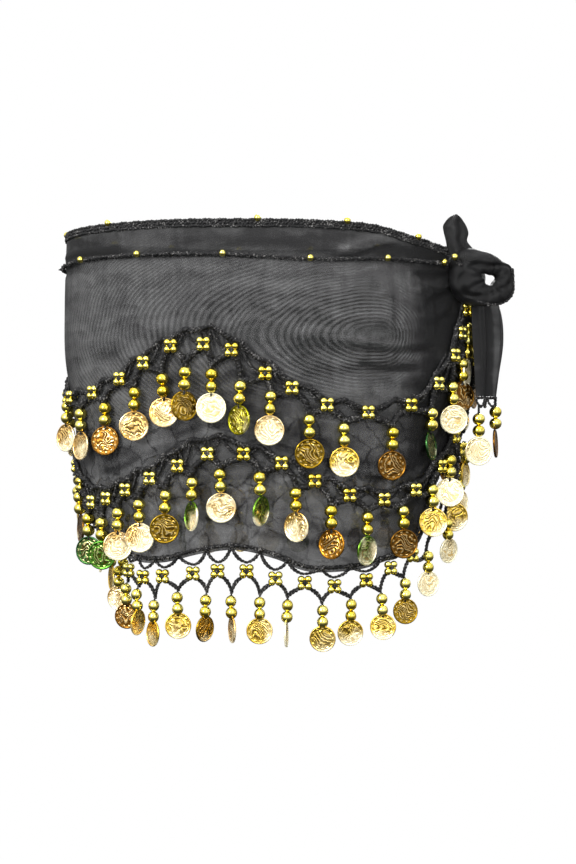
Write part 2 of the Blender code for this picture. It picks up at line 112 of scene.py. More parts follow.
# height, lift of front and back edges, angles of front and back edges
tailShape = (
    (-0.022, 0.013, 0.017, 63, 76.5), (-0.04, 0.0125, 0.022, 62.5, 79), (-0.06, 0.013, 0.0236, 63, 79.5),
    (-0.082, 0.015, 0.023, 64, 79), (-0.105, 0.0178, 0.0228, 65.5, 78.5),
)
# height, its two edges in X
earShape = (
    (-0.006, 0.145, 0.167), (0.0, 0.142, 0.165), (0.005, 0.1395, 0.161), (0.01, 0.1378, 0.1565),
    (0.015, 0.1369, 0.153), (0.021, 0.1354, 0.1541), (0.0262, 0.1347, 0.1525), (0.03, 0.1368, 0.1502),
    (0.0328, 0.1396, 0.1482), (0.035, 0.1432, 0.1458),
)
# direction round the hole, distance to the outline
loopOutline = (
    (0, 0.018), (31, 0.019), (55, 0.0163), (80, 0.0178), (104, 0.0216), (119, 0.0272), (129, 0.0292),
    (147, 0.0272), (168, 0.0258), (190, 0.0252), (214, 0.024), (237, 0.0221), (258, 0.0209), (284, 0.0205),
    (305, 0.0211), (326, 0.0209), (341, 0.0194),
)
# direction, distance from the hole's middle to its edge
loopHole = (
    (13, 0.0056), (85, 0.0035), (142, 0.0064), (191, 0.0036), (264, 0.005), (325, 0.004),
)
# share of the way from the hole's edge to the outline, depth
loopFold = (
    (0.0, 0.006), (0.06, 0.001), (0.34, -0.0026), (0.66, -0.0034), (0.92, -0.0006), (1.0, 0.004),
    (0.93, 0.0085),
)


def through(rows, place):        # smooth curve through a table's rows
    last = len(rows) - 1
    i = min(int(place), last - 1)
    t = place - i
    p, q, r, s = (np.asarray(rows[min(max(i + k, 0), last)], float) for k in (-1, 0, 1, 2))
    return 0.5 * (2 * q + (r - p) * t + (2 * p - 5 * q + 4 * r - s) * t**2 + (3 * q - p - 3 * r + s) * t**3)


def smoothTable(rows, steps):
    return np.array([through(rows, k / steps) for k in range(steps * (len(rows) - 1) + 1)])


def readTable(place, keys, table):        # the value of each column where the keys reach place
    return [np.interp(place, keys, column) for column in table.T]


def readShare(share, table):        # the same at a share of the table's length
    return readTable(np.asarray(share) * (len(table) - 1), np.arange(len(table)), table)


hipsFine = smoothTable(hipsShape, 40)[::-1]


def onHips(angle, height, lift=0.0):        # points on the hips' surface, moved out of it by lift
    _, halfWidth, halfDepth = readTable(height, hipsFine[:, 0], hipsFine)
    turn = np.radians(angle)
    outX, outY = np.sin(turn) / halfWidth, -np.cos(turn) / halfDepth
    size = np.hypot(outX, outY)
    fromKnot = (np.asarray(angle) - swell["angle"] + 180) % 360 - 180
    near = np.exp(-((fromKnot / swell["spread"]) ** 2) - (np.asarray(height) / swell["height"]) ** 2)
    lift = lift + swell["lift"] * near
    x = halfWidth * np.sin(turn) + lift * outX / size
    y = -halfDepth * np.cos(turn) + lift * outY / size
    return np.stack([x, y, height + 0 * x], axis=-1)


def outward(angle):        # flat direction out of the hips
    turn = np.radians(angle)
    flat = np.array([np.sin(turn) / meanHips["width"], -np.cos(turn) / meanHips["depth"], 0.0])
    return flat / np.linalg.norm(flat)


upwards = (0, 0, 1)


def blend(a, b, t):
    return a + (b - a) * t


def soften(t):
    t = np.clip(t, 0, 1)
    return t * t * (3 - 2 * t)


def runOf(points):
    return np.concatenate([[0], np.cumsum(np.linalg.norm(np.diff(points, axis=0), axis=1))])


class NetLine:        # a crocheted chain on the hips and the net below it, read by the run along the chain
    def __init__(self, rows):
        self.fine = smoothTable(rows, 30)
        self.run = runOf(onHips(self.fine[:, 0], self.fine[:, 1]))
        self.end = self.run[-1]

    def at(self, run):
        return readTable(run, self.run, self.fine)

    def runAt(self, angle):
        rising = np.arange(len(self.fine)) <= np.argmax(self.fine[:, 0])
        return float(np.interp(angle, self.fine[rising, 0], self.run[rising]))

    def below(self, run, share=1.0, drop=None):        # a place in the net, by share of its depth or a drop
        angle, height, depth, lean = self.at(run)
        depth = depth * share if drop is None else drop
        slant, turn = np.radians(lean), np.radians(angle)
        perDegree = np.radians(np.hypot(netHips["width"] * np.cos(turn), netHips["depth"] * np.sin(turn)))
        return angle + depth * np.sin(slant) / perDegree, height - depth * np.cos(slant)


# shader maths and nodes

class Wire:
    def __init__(self, tree, socket):
        self.tree, self.socket = tree, socket

    def maths(self, kind, first, second=0.0):
        node = self.tree.nodes.new("ShaderNodeMath")
        node.operation = kind
        for place, value in zip(node.inputs, (first, second)):
            if isinstance(value, Wire):
                self.tree.links.new(value.socket, place)
            else:
                place.default_value = value
        return Wire(self.tree, node.outputs[0])

    def __add__(self, other): return self.maths("ADD", self, other)
    def __radd__(self, other): return self.maths("ADD", other, self)
    def __sub__(self, other): return self.maths("SUBTRACT", self, other)
    def __rsub__(self, other): return self.maths("SUBTRACT", other, self)
    def __mul__(self, other): return self.maths("MULTIPLY", self, other)
    def __rmul__(self, other): return self.maths("MULTIPLY", other, self)
    def __truediv__(self, other): return self.maths("DIVIDE", self, other)
    def __pow__(self, other): return self.maths("POWER", self, other)
    def sin(self): return self.maths("SINE", self)
    def most(self, other): return self.maths("MAXIMUM", self, other)
    def share(self): return self.maths("MINIMUM", self.most(0.0), 1.0)


class Finish:        # a material made from one Principled shader and the nodes that feed it
    def __init__(self, name, **sockets):
        self.material = bpy.data.materials.new(name)
        self.material.use_nodes = True
        self.tree = self.material.node_tree
        self.shader = self.tree.nodes["Principled BSDF"]
        self.feed(self.shader, {key.replace("_", " "): value for key, value in sockets.items()})

    def feed(self, node, sockets):
        for key, value in sockets.items():
            if isinstance(value, Wire):
                self.tree.links.new(value.socket, node.inputs[key])
            else:
                node.inputs[key].default_value = value

    def node(self, kind, settings=None, sockets=None, output=0):
        node = self.tree.nodes.new(kind)
        for key, value in (settings or {}).items():
            setattr(node, key, value)
        self.feed(node, sockets or {})
        return Wire(self.tree, node.outputs[output])

    def mix(self, factor, first, second):
        return self.node("ShaderNodeMix", {"data_type": "RGBA"}, {0: factor, 6: first, 7: second}, 2)

    def bump(self, height, strength, distance):
        sockets = {"Height": height, "Strength": strength, "Distance": distance}
        return self.node("ShaderNodeBump", None, sockets)

    def noise(self, vector, scale, detail):
        return self.node("ShaderNodeTexNoise", None, {"Vector": vector, "Scale": scale, "Detail": detail})

    def vector(self, x, y, z=0.0):
        return self.node("ShaderNodeCombineXYZ", None, {0: x, 1: y, 2: z})

    def split(self, vector):
        parts = self.tree.nodes.new("ShaderNodeSeparateXYZ")
        self.tree.links.new(vector.socket, parts.inputs[0])
        return [Wire(self.tree, parts.outputs[k]) for k in range(3)]

    def attribute(self, name, output=0):        # 0 is its colour, 2 its number and 3 its alpha
        return self.node("ShaderNodeAttribute", {"attribute_name": name}, None, output)

    def map(self, name):
        return self.node("ShaderNodeUVMap", {"uv_map": name})

    def objectPlace(self):
        return self.node("ShaderNodeTexCoord", None, None, 3)


chiffon = {
    "dark": (0.016, 0.016, 0.0165, 1), "light": (0.165, 0.165, 0.166, 1), "denseAndShaded": (0.004, 0.004, 0.0042, 1),
    "weavePitch": 0.0011, "cloud": 24.0, "slub": 110.0, "drift": 14.0, "streak": (14.0, 95.0),
    "rib": (230.0, 16.0), "bandEnd": 0.084, "bandReach": 2.3, "bandHeight": -0.06, "bandPitch": 0.0032,
    "bandCrowding": 5.0, "bandLimit": 0.05, "crumpleShadeTop": -0.055, "creaseTop": -0.104, "creaseScale": 52.0,
    "creaseWidth": 0.055, "bumpStrength": 0.5, "bumpDepth": 0.0008,
}


def makeChiffon(name, cover, bandShare, tone, roughness, shine):
    finish = Finish(name, Roughness=roughness, Specular_IOR_Level=shine)
    uv = finish.map("cloth")
    along, up, _ = finish.split(uv)
    denseAndShaded = finish.attribute("denseAndShaded", 2)
    turns = 2 * math.pi / chiffon["weavePitch"]
    weave = (along * turns).sin() * (up * turns).sin()
    cloudy = finish.noise(uv, chiffon["cloud"], 4.0)
    slub = finish.noise(uv, chiffon["slub"], 2.0)
    drift = finish.noise(uv, chiffon["drift"], 1.0)
    wide, tall = chiffon["streak"]        # lying streaks, and below them standing ribs
    streak = finish.noise(finish.vector(along * wide, up * tall + cloudy * 3.0), 1.0, 4.0)
    wide, tall = chiffon["rib"]
    rib = finish.noise(finish.vector(along * wide + drift * 4.0, up * tall, 3.0), 1.0, 2.0)
    # light bands where the weaves of two layers line up, running round one end of the cloth
    x = along - chiffon["bandEnd"]
    x = x.most(0.0) + (0.0 - x).most(0.0) / chiffon["bandReach"]
    y = up - chiffon["bandHeight"]
    around = (x * x + y * y + 0.000004) ** 0.5 + (drift - 0.5) * 0.012 + (cloudy - 0.5) * 0.003
    bands = (around + around * around * chiffon["bandCrowding"]) * (2 * math.pi / chiffon["bandPitch"])
    bands = bands.sin() * 0.5 + 0.5
    limit = (chiffon["bandEnd"] - along).most(0.0) * 0.38 + chiffon["bandLimit"]
    window = ((limit - around) * 30.0).share() * ((around - 0.002) * 60.0).share()
    window = window * ((cloudy - 0.2) * 3.0).share() * bandShare
    window = window * (1.0 - ((chiffon["bandEnd"] - along) * 3.2).share() * 0.45)
    shade = (1.0 - around * 15.0).most(0.0) * bandShare
    # painted light and shade of crumples below the first chain, as stronger pale and dark patches; below the
    # second, fine creases that are bumped and darkened with painted shade
    low = ((chiffon["crumpleShadeTop"] - up) * 22.0).share()
    light = (cloudy - 0.5) * (low * 0.7 + 0.6) + (slub - 0.5) * 0.3
    light = light + (streak - 0.5) * 0.8 + (rib - 0.5) * 0.25
    bent = finish.vector(along + cloudy * 0.03, up + slub * 0.012)
    cell = finish.node("ShaderNodeTexVoronoi", {"feature": "DISTANCE_TO_EDGE"},
                       {"Vector": bent, "Scale": chiffon["creaseScale"]})
    crease = ((chiffon["creaseWidth"] - cell) * 20.0).share()
    crease = crease * ((chiffon["creaseTop"] - up) * 40.0).share()
    light = light + tone + (bands - 0.58) * window * 0.38
    # painted shade: darker along the fine creases
    light = light - denseAndShaded * 0.55 - crease * (cloudy * 0.55) - shade * 0.11
    colour = finish.mix(light.share(), chiffon["dark"], chiffon["light"])
    # denser cloth and painted shade of folds both come in through this attribute
    colour = finish.mix((denseAndShaded * 0.8).share(), colour, chiffon["denseAndShaded"])
    hide = cover + (0.5 - streak) * 0.1 + (0.5 - cloudy) * 0.07 + weave * 0.012
    hide = (hide + denseAndShaded * 0.18 - bands * window * 0.02).share()
    height = weave * 0.3 + streak * 2.0 + slub * 0.6 - crease
    finish.feed(finish.shader, {
        "Base Color": colour, "Alpha": hide,
        "Normal": finish.bump(height, chiffon["bumpStrength"], chiffon["bumpDepth"]),
    })
    return finish.material


threadLook = {
    "dark": (0.0025, 0.0025, 0.003, 1), "paintedGlint": (0.16, 0.155, 0.15, 1), "fuzz": 900.0, "patch": 120.0,
}
giltLook = {"deep": (0.72, 0.56, 0.05, 1), "bright": (1.0, 0.93, 0.3, 1), "worn": 300.0, "patch": 60.0}
coinLook = {
    "pale": (1.0, 0.93, 0.66, 1), "deepInk": (0.085, 0.035, 0.005, 1), "paleInk": (0.8, 0.52, 0.14, 1),
    "paintedRidgeHighlight": (1.0, 0.8, 0.4, 1), "stain": 190.0, "paintedHighlight": 60.0, "fieldEdge": 0.7, "dotRing": 0.79,
    "dots": 12.0, "rimStart": 0.89,
}


def makeThread():        # black yarn with painted glints, pale flecks where the fuzz noise peaks
    finish = Finish("crochetThread", Roughness=0.6, Specular_IOR_Level=0.3)
    place = finish.objectPlace()
    fuzz = finish.noise(place, threadLook["fuzz"], 2.0)
    patch = finish.noise(place, threadLook["patch"], 2.0)
    paintedGlint = ((fuzz + patch * 0.35 - 0.76) * 9.0).share()
    colour = finish.mix(paintedGlint, threadLook["dark"], threadLook["paintedGlint"])
    finish.feed(finish.shader, {"Base Color": colour, "Normal": finish.bump(fuzz, 0.6, 0.0005)})
    return finish.material


def makeGilt():        # bright gilt of the beads, slightly worn
    finish = Finish("giltBead", Metallic=1.0)
    place = finish.objectPlace()
    worn = finish.noise(place, giltLook["worn"], 3.0)
    patch = finish.noise(place, giltLook["patch"], 1.0)
    colour = finish.mix(((patch - 0.3) * 2.2).share(), giltLook["deep"], giltLook["bright"])
    finish.feed(finish.shader, {"Base Color": colour, "Roughness": worn * 0.16 + 0.08,
                                "Normal": finish.bump(worn, 0.15, 0.0003)})
    return finish.material


def makeCoinMetal():        # stamped coins: each has its tint, and a painted highlight, a pale flare over part of its face
    finish = Finish("stampedCoin", Metallic=1.0)
    tint, flare = finish.attribute("tint"), finish.attribute("tint", 3)
    x, y, _ = finish.split(finish.map("coin"))
    place = finish.objectPlace()
    stain = finish.noise(place, coinLook["stain"], 3.0)
    wide = finish.noise(place, coinLook["paintedHighlight"], 1.0)
    swirl = finish.vector(x + wide * 2.2, y + stain * 0.5, wide * 5.0)
    drawing = {"Vector": swirl, "Scale": 1.35, "Distortion": 5.5, "Detail": 2.0, "Detail Scale": 1.6}
    strokes = finish.node("ShaderNodeTexWave", {"bands_direction": "DIAGONAL"}, drawing, 1)
    radius = (x * x + y * y) ** 0.5
    turn = x.maths("ARCTAN2", y, x)
    field = ((coinLook["fieldEdge"] - radius) * 14.0).share()
    dotRing = (1.0 - ((radius - coinLook["dotRing"]) * 13.0) ** 2.0).share()
    dots = ((turn * coinLook["dots"]).sin() * 1.6).share() * dotRing
    rim = ((radius - coinLook["rimStart"]) * 30.0).share()
    relief = strokes * field * 0.8 + dots * 0.9 + rim * 0.7 + stain * 0.15
    pits = ((0.42 - strokes) * 2.6).share() * field + (1.0 - dots) * dotRing * 0.55
    # painted highlight: a pale patch over part of the face, paler towards one lower side, and less metallic
    # there so diffuse light brightens it too
    paintedHighlight = (wide - 0.5) * 4.5 + (stain - 0.5) * 1.2 + (x * 0.5 - y) * 0.55
    paintedHighlight = (paintedHighlight + (flare - 0.5) * 3.0 + 0.45).share()
    colour = finish.mix(paintedHighlight, tint, coinLook["pale"])
    ink = finish.mix(paintedHighlight, coinLook["deepInk"], coinLook["paleInk"])
    colour = finish.mix((pits * 0.85).share(), colour, ink)
    # painted highlight: pale colour on the tops of the strokes and on the ring of dots
    paintedRidgeHighlight = ((strokes - 0.74) * 5.0).share() * field + dots * 0.7
    colour = finish.mix((paintedRidgeHighlight * 0.5).share(), colour, coinLook["paintedRidgeHighlight"])
    finish.feed(finish.shader, {
        "Base Color": colour, "Roughness": stain * 0.2 + 0.17, "Metallic": 1.0 - paintedHighlight * 0.38,
        "Normal": finish.bump(relief, 0.55, 0.0006),
    })
    return finish.material


finishes = {
    "cloth": makeChiffon("sheerChiffon", cover=0.79, bandShare=1.0, tone=0.325, roughness=0.65, shine=0.15),
    "tieCloth": makeChiffon("gatheredChiffon", cover=0.96, bandShare=0.0, tone=0.16, roughness=0.33,
                            shine=0.13),
    "thread": makeThread(),
    "gilt": makeGilt(),
    "coin": makeCoinMetal(),
}
print("finishes made:", len(finishes))


# making pieces, and hiding the frame's parts they stand for

def dressPiece(name, data, finish, nodes):
    data.materials.append(finishes[finish])
    piece = bpy.data.objects.new(name, data)
    bpy.context.scene.collection.objects.link(piece)
    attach(piece, "root")
    if nodes:
        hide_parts(*nodes)
    return piece


def keepForm(name, bm):
    mesh = bpy.data.meshes.new(name)
    bm.to_mesh(mesh)
    bm.free()
    return mesh


def meshPiece(name, bm, finish, nodes=()):
    mesh = keepForm(name, bm)
    mesh.shade_smooth()
    return dressPiece(name, mesh, finish, nodes)


def gridSheet(name, size, place, finish, wall, nodes):        # a flat grid laid where place(u, v) says
    across, down = size
    closeBy = 1e-6
    bm = bmesh.new()
    bmesh.ops.create_grid(bm, x_segments=across, y_segments=down, size=1)
    flat = np.array([vert.co[:2] for vert in bm.verts])
    points, texture, densityAndShade = place((flat[:, 0] + 1) / 2, (1 - flat[:, 1]) / 2)
    uv = bm.loops.layers.uv.new("cloth")
    denseAndShaded = bm.verts.layers.float.new("denseAndShaded")
    bm.verts.index_update()
    for vert, point, value in zip(bm.verts, points, densityAndShade):
        vert.co = point
        vert[denseAndShaded] = value
    for face in bm.faces:
        for corner in face.loops:
            corner[uv].uv = texture[corner.vert.index]
    if np.linalg.norm(points[0] - points[across]) < closeBy:        # the sheet meets itself
        bmesh.ops.remove_doubles(bm, verts=bm.verts, dist=closeBy)
    piece = meshPiece(name, bm, finish, nodes)
    solid = piece.modifiers.new("wall", "SOLIDIFY")
    solid.thickness = wall
    solid.offset = 1.0
    return piece


twisted = {"pitch": 0.0055, "step": 0.0014, "lumpiness": 0.16, "lumps": 1900}
picot = {"sizes": (0.75, 1.2), "lengths": (1.2, 1.9), "gaps": (0.6, 1.4)}
knotLump = ((-1.0, 0.25), (-0.6, 0.85), (0.0, 1.0), (0.6, 0.85), (1.0, 0.25))        # place along it, girth


class Cords:        # threads of one piece, each a spline with its own thickness
    def __init__(self, name):
        self.curve = bpy.data.curves.new(name, "CURVE")
        self.curve.dimensions = "3D"
        self.curve.bevel_depth = 1.0
        self.curve.bevel_resolution = 1
        self.curve.use_fill_caps = True

    def spline(self, points, radii):
        line = self.curve.splines.new("POLY")
        line.points.add(len(points) - 1)
        line.points.foreach_set("co", np.c_[points, np.ones(len(points))].ravel())
        line.points.foreach_set("radius", np.broadcast_to(radii, len(points)).astype(float).copy())

    def twist(self, points, outs, strand, spread, pitch=twisted["pitch"], step=twisted["step"], turn=0.0):
        run = runOf(points)
        if run[-1] < 2 * step:
            return
        even = np.linspace(0, run[-1], max(3, round(run[-1] / step) + 1))
        path = np.stack(readTable(even, run, points), axis=-1)
        out = np.stack(readTable(even, run, outs), axis=-1)
        side = np.cross(np.gradient(path, axis=0), out)
        side /= np.linalg.norm(side, axis=1)[:, None] + 1e-9
        for strandTurn in (0.0, math.pi):
            angle = 2 * math.pi * even / pitch + turn + strandTurn
            lumpy = 1 + twisted["lumpiness"] * np.sin(even * twisted["lumps"] + turn * 3 + strandTurn)
            aside = np.cos(angle)[:, None] * side + np.sin(angle)[:, None] * out
            self.spline(path + spread * aside, strand * lumpy)

    def onHips(self, angles, heights, lift, strand, spread, **options):
        points = onHips(angles, heights, lift)
        outs = (onHips(angles, heights, lift + 0.001) - points) * 1000
        self.twist(points, outs, strand, spread, **options)

    def lump(self, middle, direction, size, length=1.0):        # a small knot
        along, thick = np.array(knotLump).T
        places = along * size * length
        self.spline(np.asarray(middle) + places[:, None] * np.asarray(direction), size * thick)

    def picots(self, points, dice, size, gap):        # uneven crochet stitches along a thread
        run = runOf(points)
        at = dice.uniform(0.2, 0.8) * gap
        while at < run[-1]:
            middle = readTable(at, run, points)
            way = np.array([dice.uniform(-1, 1), dice.uniform(-0.3, 0.3), dice.uniform(-1, 1)])
            self.lump(middle, way / np.linalg.norm(way), size * dice.uniform(*picot["sizes"]),
                      dice.uniform(*picot["lengths"]))
            at += gap * dice.uniform(*picot["gaps"])

    def piece(self, nodes):
        return dressPiece(self.curve.name, self.curve, "thread", nodes)


def arc(start, end, bend, count=14):        # points on a bent line between two places, pulled towards bend
    t = np.linspace(0, 1, count)[:, None]
    start, end, bend = np.asarray(start), np.asarray(end), np.asarray(bend)
    return (1 - t) ** 2 * start + 2 * t * (1 - t) * bend + t * t * end


def places(stem):
    return [f"{stem}_{stretch}" for stretch in ("back", "right_side", "front")]


# the chiffon strip

strip = {
    "grid": (400, 92), "lift": 0.0004, "wall": 0.00035, "gatherRun": 0.16, "hiddenCreases": 46, "seed": 5,
    "ripple": 0.0005,
}
# where two layers make the cloth look denser: at the ends, beside the knot and along the top edge; beside the
# knot it is also painted shade of the side turned from the key light
layers = {"end": (0.3, 0.07), "byKnot": (0.62, 36, 13), "topEdge": (0.42, 0.004, 0.006)}
# angle and height along the line, half width, how far it stands out, how dense the cloth gets, which is also
# painted shade in the troughs, and painted highlight on ridges where it is below zero
creases = (
    (((17, 0.0015), (24, 0.0095), (29, 0.014), (37, 0.0125)), 0.003, 0.0014, -0.15),
    (((15, -0.002), (22, -0.0015), (31, 0.0065), (38, 0.0085)), 0.0016, -0.0008, 0.45),
    (((18, 0.0045), (22, 0.004)), 0.003, 0.0008, -0.22),
    (((60, -0.021), (53, -0.028), (46, -0.035)), 0.0026, -0.0014, 0.55),
    (((59, -0.033), (51, -0.044), (43, -0.05)), 0.003, 0.0012, 0.18),
    (((58, -0.01), (50, -0.0125), (40, -0.012)), 0.0022, -0.001, 0.35),
    (((20, -0.067), (30, -0.0705), (41, -0.0695), (50, -0.064)), 0.0026, 0.0013, 0.4),
    (((24, -0.08), (33, -0.085), (45, -0.083)), 0.0022, -0.0012, 0.45),
    (((28, -0.093), (37, -0.0965), (46, -0.09)), 0.003, 0.0011, 0.2),
    (((34, -0.003), (34.6, -0.06)), 0.0018, 0.0007, 0.14),
    (((38, -0.004), (38.8, -0.056)), 0.0014, -0.0006, 0.16),
    (((41.5, -0.006), (42.0, -0.048)), 0.0016, 0.0006, 0.1),
    (((45, -0.01), (45.6, -0.04)), 0.0014, -0.0005, 0.16),
    (((49, -0.02), (50, -0.06)), 0.002, 0.0007, 0.14),
    (((-92, 0.007), (-70, 0.0068), (-52, 0.006), (-40, 0.005)), 0.0024, 0.0013, 0.55),
    (((-95, -0.006), (-72, -0.005), (-55, -0.0065)), 0.003, -0.001, 0.12),
    (((-80, 0.018), (-79, -0.19)), 0.026, 0.0, 0.16),
    (((-72, -0.06), (-58, -0.065), (-44, -0.06)), 0.006, 0.001, 0.0),
    (((-30, 0.012), (-10, 0.0095), (12, 0.008)), 0.003, 0.0007, 0.14),
    (((-66, -0.145), (-52, -0.152), (-38, -0.143)), 0.004, 0.0017, 0.22),
    (((-60, -0.164), (-48, -0.16), (-37, -0.149)), 0.0026, -0.0013, 0.28),
    (((-36, -0.126), (-24, -0.119), (-12, -0.117)), 0.0034, 0.0015, 0.16),
    (((-30, -0.138), (-17, -0.128), (-6, -0.13)), 0.0028, -0.0012, 0.24),
    (((-12, -0.109), (0, -0.122), (12, -0.139)), 0.0036, 0.0016, 0.2),
    (((-4, -0.135), (10, -0.15), (24, -0.162)), 0.0026, -0.0012, 0.28),
    (((14, -0.147), (28, -0.156), (44, -0.154)), 0.0036, 0.0016, 0.22),
    (((22, -0.164), (36, -0.168), (48, -0.159)), 0.0028, -0.0012, 0.28),
    (((46, -0.13), (54, -0.118), (60, -0.098)), 0.0036, 0.0016, 0.3),
    (((48, -0.15), (57, -0.138), (64, -0.115)), 0.003, -0.0014, 0.34),
    (((-58, -0.206), (-46, -0.212), (-36, -0.21)), 0.0034, 0.0014, 0.2),
    (((-30, -0.2), (-16, -0.195), (-4, -0.201)), 0.004, 0.0013, 0.14),
    (((-8, -0.208), (6, -0.212), (20, -0.221)), 0.0028, -0.0012, 0.22),
    (((2, -0.196), (18, -0.205), (32, -0.216)), 0.0036, 0.0014, 0.16),
    (((26, -0.21), (38, -0.215), (48, -0.208)), 0.003, 0.0013, 0.22),
    (((30, -0.198), (42, -0.193), (53, -0.18)), 0.0028, -0.0013, 0.26),
)
# where the strip is drawn together by the knot: share from top to hem, half width, depth, density, which is
# higher in the troughs as painted shade
gathers = (
    (0.05, 0.045, 0.0012, 0.4), (0.15, 0.035, -0.0013, 0.6), (0.25, 0.05, 0.0016, 0.35),
    (0.36, 0.03, -0.0011, 0.6), (0.45, 0.045, 0.0015, 0.4), (0.57, 0.04, -0.0015, 0.6),
    (0.68, 0.05, 0.0016, 0.35), (0.79, 0.035, -0.0012, 0.6), (0.9, 0.05, 0.0014, 0.45),
)


# the folds are denser and darkened with painted shade along them
def hiddenCreases(amount, seed):        # soft folds of the same kind round the sides and back
    dice = random.Random(seed)
    found = []
    for _ in range(amount):
        angle = dice.uniform(-268, -100)
        high, middle = dice.uniform(-0.045, 0.012), dice.uniform(-0.18, -0.05)
        height = dice.choice((high, middle, dice.uniform(-0.18, -0.11)))
        reach, fall = dice.uniform(7, 16), dice.uniform(-0.01, 0.01)
        sign = dice.choice((1, -1))
        line = ((angle - reach, height - fall), (angle, height + dice.uniform(-0.003, 0.003)),
                (angle + reach, height + fall))
        found.append((line, dice.uniform(0.0022, 0.0042), sign * dice.uniform(0.0009, 0.0017),
                      dice.uniform(0.08, 0.3)))
    return tuple(found)


def awayFromLine(points, line):        # each point's distance to a bent line, and how far along it is, 0 to 1
    best = np.full(len(points), 1e9)
    along = np.zeros(len(points))
    for k, (a, b) in enumerate(zip(line, line[1:])):
        span = b - a
        t = np.clip(((points - a) @ span) / (span @ span), 0, 1)
        away = np.linalg.norm(points - a - t[:, None] * span, axis=1)
        closer = away < best
        best[closer] = away[closer]
        along[closer] = (k + t[closer]) / (len(line) - 1)
    return best, along


# the run round the waist that belongs to each angle, for distances on the cloth
waistAngles = np.linspace(-300, 90, 800)
waistRuns = runOf(onHips(waistAngles, np.full(len(waistAngles), -0.1)))
waistRuns -= np.interp(0, waistAngles, waistRuns)
stripFine = smoothTable(clothTable, 20)
stripRun = runOf(onHips(stripFine[:, 2], stripFine[:, 3]))


def stripPlace(u, v):
    run = u * stripRun[-1]
    topAngle, top, hemAngle, hem = readTable(run, stripRun, stripFine)
    angle, height = blend(topAngle, hemAngle, v), blend(top, hem, v)
    along = np.interp(angle, waistAngles, waistRuns)
    spots = np.stack([along, height], axis=-1)
    lift = np.full(len(u), strip["lift"])
    densityAndShade = np.zeros(len(u))
    for line, halfWidth, stand, denseAndShaded in creases + hiddenCreases(strip["hiddenCreases"], strip["seed"]):
        bent = np.array([(np.interp(a, waistAngles, waistRuns), h) for a, h in line])
        away, part = awayFromLine(spots, smoothTable(bent, 6))
        near = soften(1 - away / (halfWidth * 1.7)) * soften(np.minimum(part, 1 - part) * 4)
        lift += stand * near
        # denser cloth and painted shade along each fold, painted highlight where the value is below zero
        densityAndShade += denseAndShaded * near * 1.5
    toEnd = np.minimum(run, stripRun[-1] - run)
    drawn = soften(1 - toEnd / strip["gatherRun"])
    for share, halfWidth, stand, denseAndShaded in gathers:
        near = soften(1 - np.abs(v + 0.02 * np.sin(run * 60) - share) / (halfWidth * 1.5)) * drawn
        lift += stand * near
        densityAndShade += denseAndShaded * near
    (end, endRun), (byKnot, fromAngle, overAngle), (topEdge, below, over) = layers.values()
    # beside the knot: gathered layers, and painted shade of the side turned from the light
    densityAndShade += end * soften(1 - toEnd / endRun) + byKnot * soften((angle - fromAngle) / overAngle)
    densityAndShade += topEdge * soften((height + below) / over)
    lift += strip["ripple"] * np.sin(along * 61 + 9 * height) * np.sin(height * 74 + along * 13)
    return onHips(angle, height, lift), spots, np.clip(densityAndShade, -0.6, 1.0)


cloth = gridSheet("chiffonStrip", strip["grid"], stripPlace, "cloth", strip["wall"],
                  ("cloth_back_end", "cloth_back", "cloth_right_side", "cloth_front", "cloth_front_end"))
print("strip of chiffon:", len(cloth.data.polygons), "faces")


# beads and coins

bead = {"radius": 0.0049, "pitch": 0.0091, "squash": 0.96, "small": 0.0029, "tiny": 0.0027}
# its profile is half a section from the middle out: radius, height
coin = {
    "radius": 0.01125, "drop": 0.0249, "hemDrop": 0.0211, "steps": 24,
    "profile": ((0.0001, 0.00042), (0.007, 0.00042), (0.0092, 0.00036), (0.0098, 0.0004),
                (0.0103, 0.00085), (0.0109, 0.00085), (0.01125, 0.0004)),
}
tints = {        # colour, share of painted highlight (pale flare)
    "cream": ((0.86, 0.54, 0.17), 0.5), "white": ((0.98, 0.78, 0.4), 0.8),
    "gold": ((0.86, 0.58, 0.08), 0.38), "dark": ((0.34, 0.21, 0.015), 0.04),
    "brown": ((0.2, 0.09, 0.012), 0.08), "amber": ((0.42, 0.18, 0.015), 0.12),
    "green": ((0.14, 0.3, 0.03), 0.4), "olive": ((0.3, 0.29, 0.01), 0.12),
    "leaf": ((0.08, 0.26, 0.03), 0.0), "moss": ((0.035, 0.11, 0.03), 0.0),
}


def beadForm(radius, around, rings, squash=1.0):
    bm = bmesh.new()
    bmesh.ops.create_uvsphere(bm, u_segments=around, v_segments=rings, radius=radius)
    bmesh.ops.scale(bm, vec=(1, 1, squash), verts=bm.verts)
    return keepForm("bead", bm)


def coinForm():        # the profile and its mirror spun round, so the rim stands on both faces
    bm = bmesh.new()
    line = list(coin["profile"]) + [(radius, -height) for radius, height in reversed(coin["profile"])]
    verts = [bm.verts.new((radius, 0, height)) for radius, height in line]
    edges = [bm.edges.new(pair) for pair in zip(verts, verts[1:])]
    bmesh.ops.spin(bm, geom=verts + edges, cent=(0, 0, 0), axis=(0, 0, 1), angle=2 * math.pi,
                   steps=coin["steps"], use_duplicate=False)
    bmesh.ops.remove_doubles(bm, verts=bm.verts, dist=0.00015)
    bmesh.ops.recalc_face_normals(bm, faces=bm.faces)
    uv = bm.loops.layers.uv.new("coin")
    bm.verts.layers.float_color.new("tint")
    for face in bm.faces:
        for corner in face.loops:
            corner[uv].uv = (corner.vert.co.x / coin["radius"], corner.vert.co.y / coin["radius"])
    return keepForm("coin", bm)


forms = {
    "round": beadForm(bead["radius"], 14, 9, bead["squash"]), "small": beadForm(bead["small"], 9, 6),
    "tiny": beadForm(bead["tiny"], 9, 6), "coin": coinForm(),
}


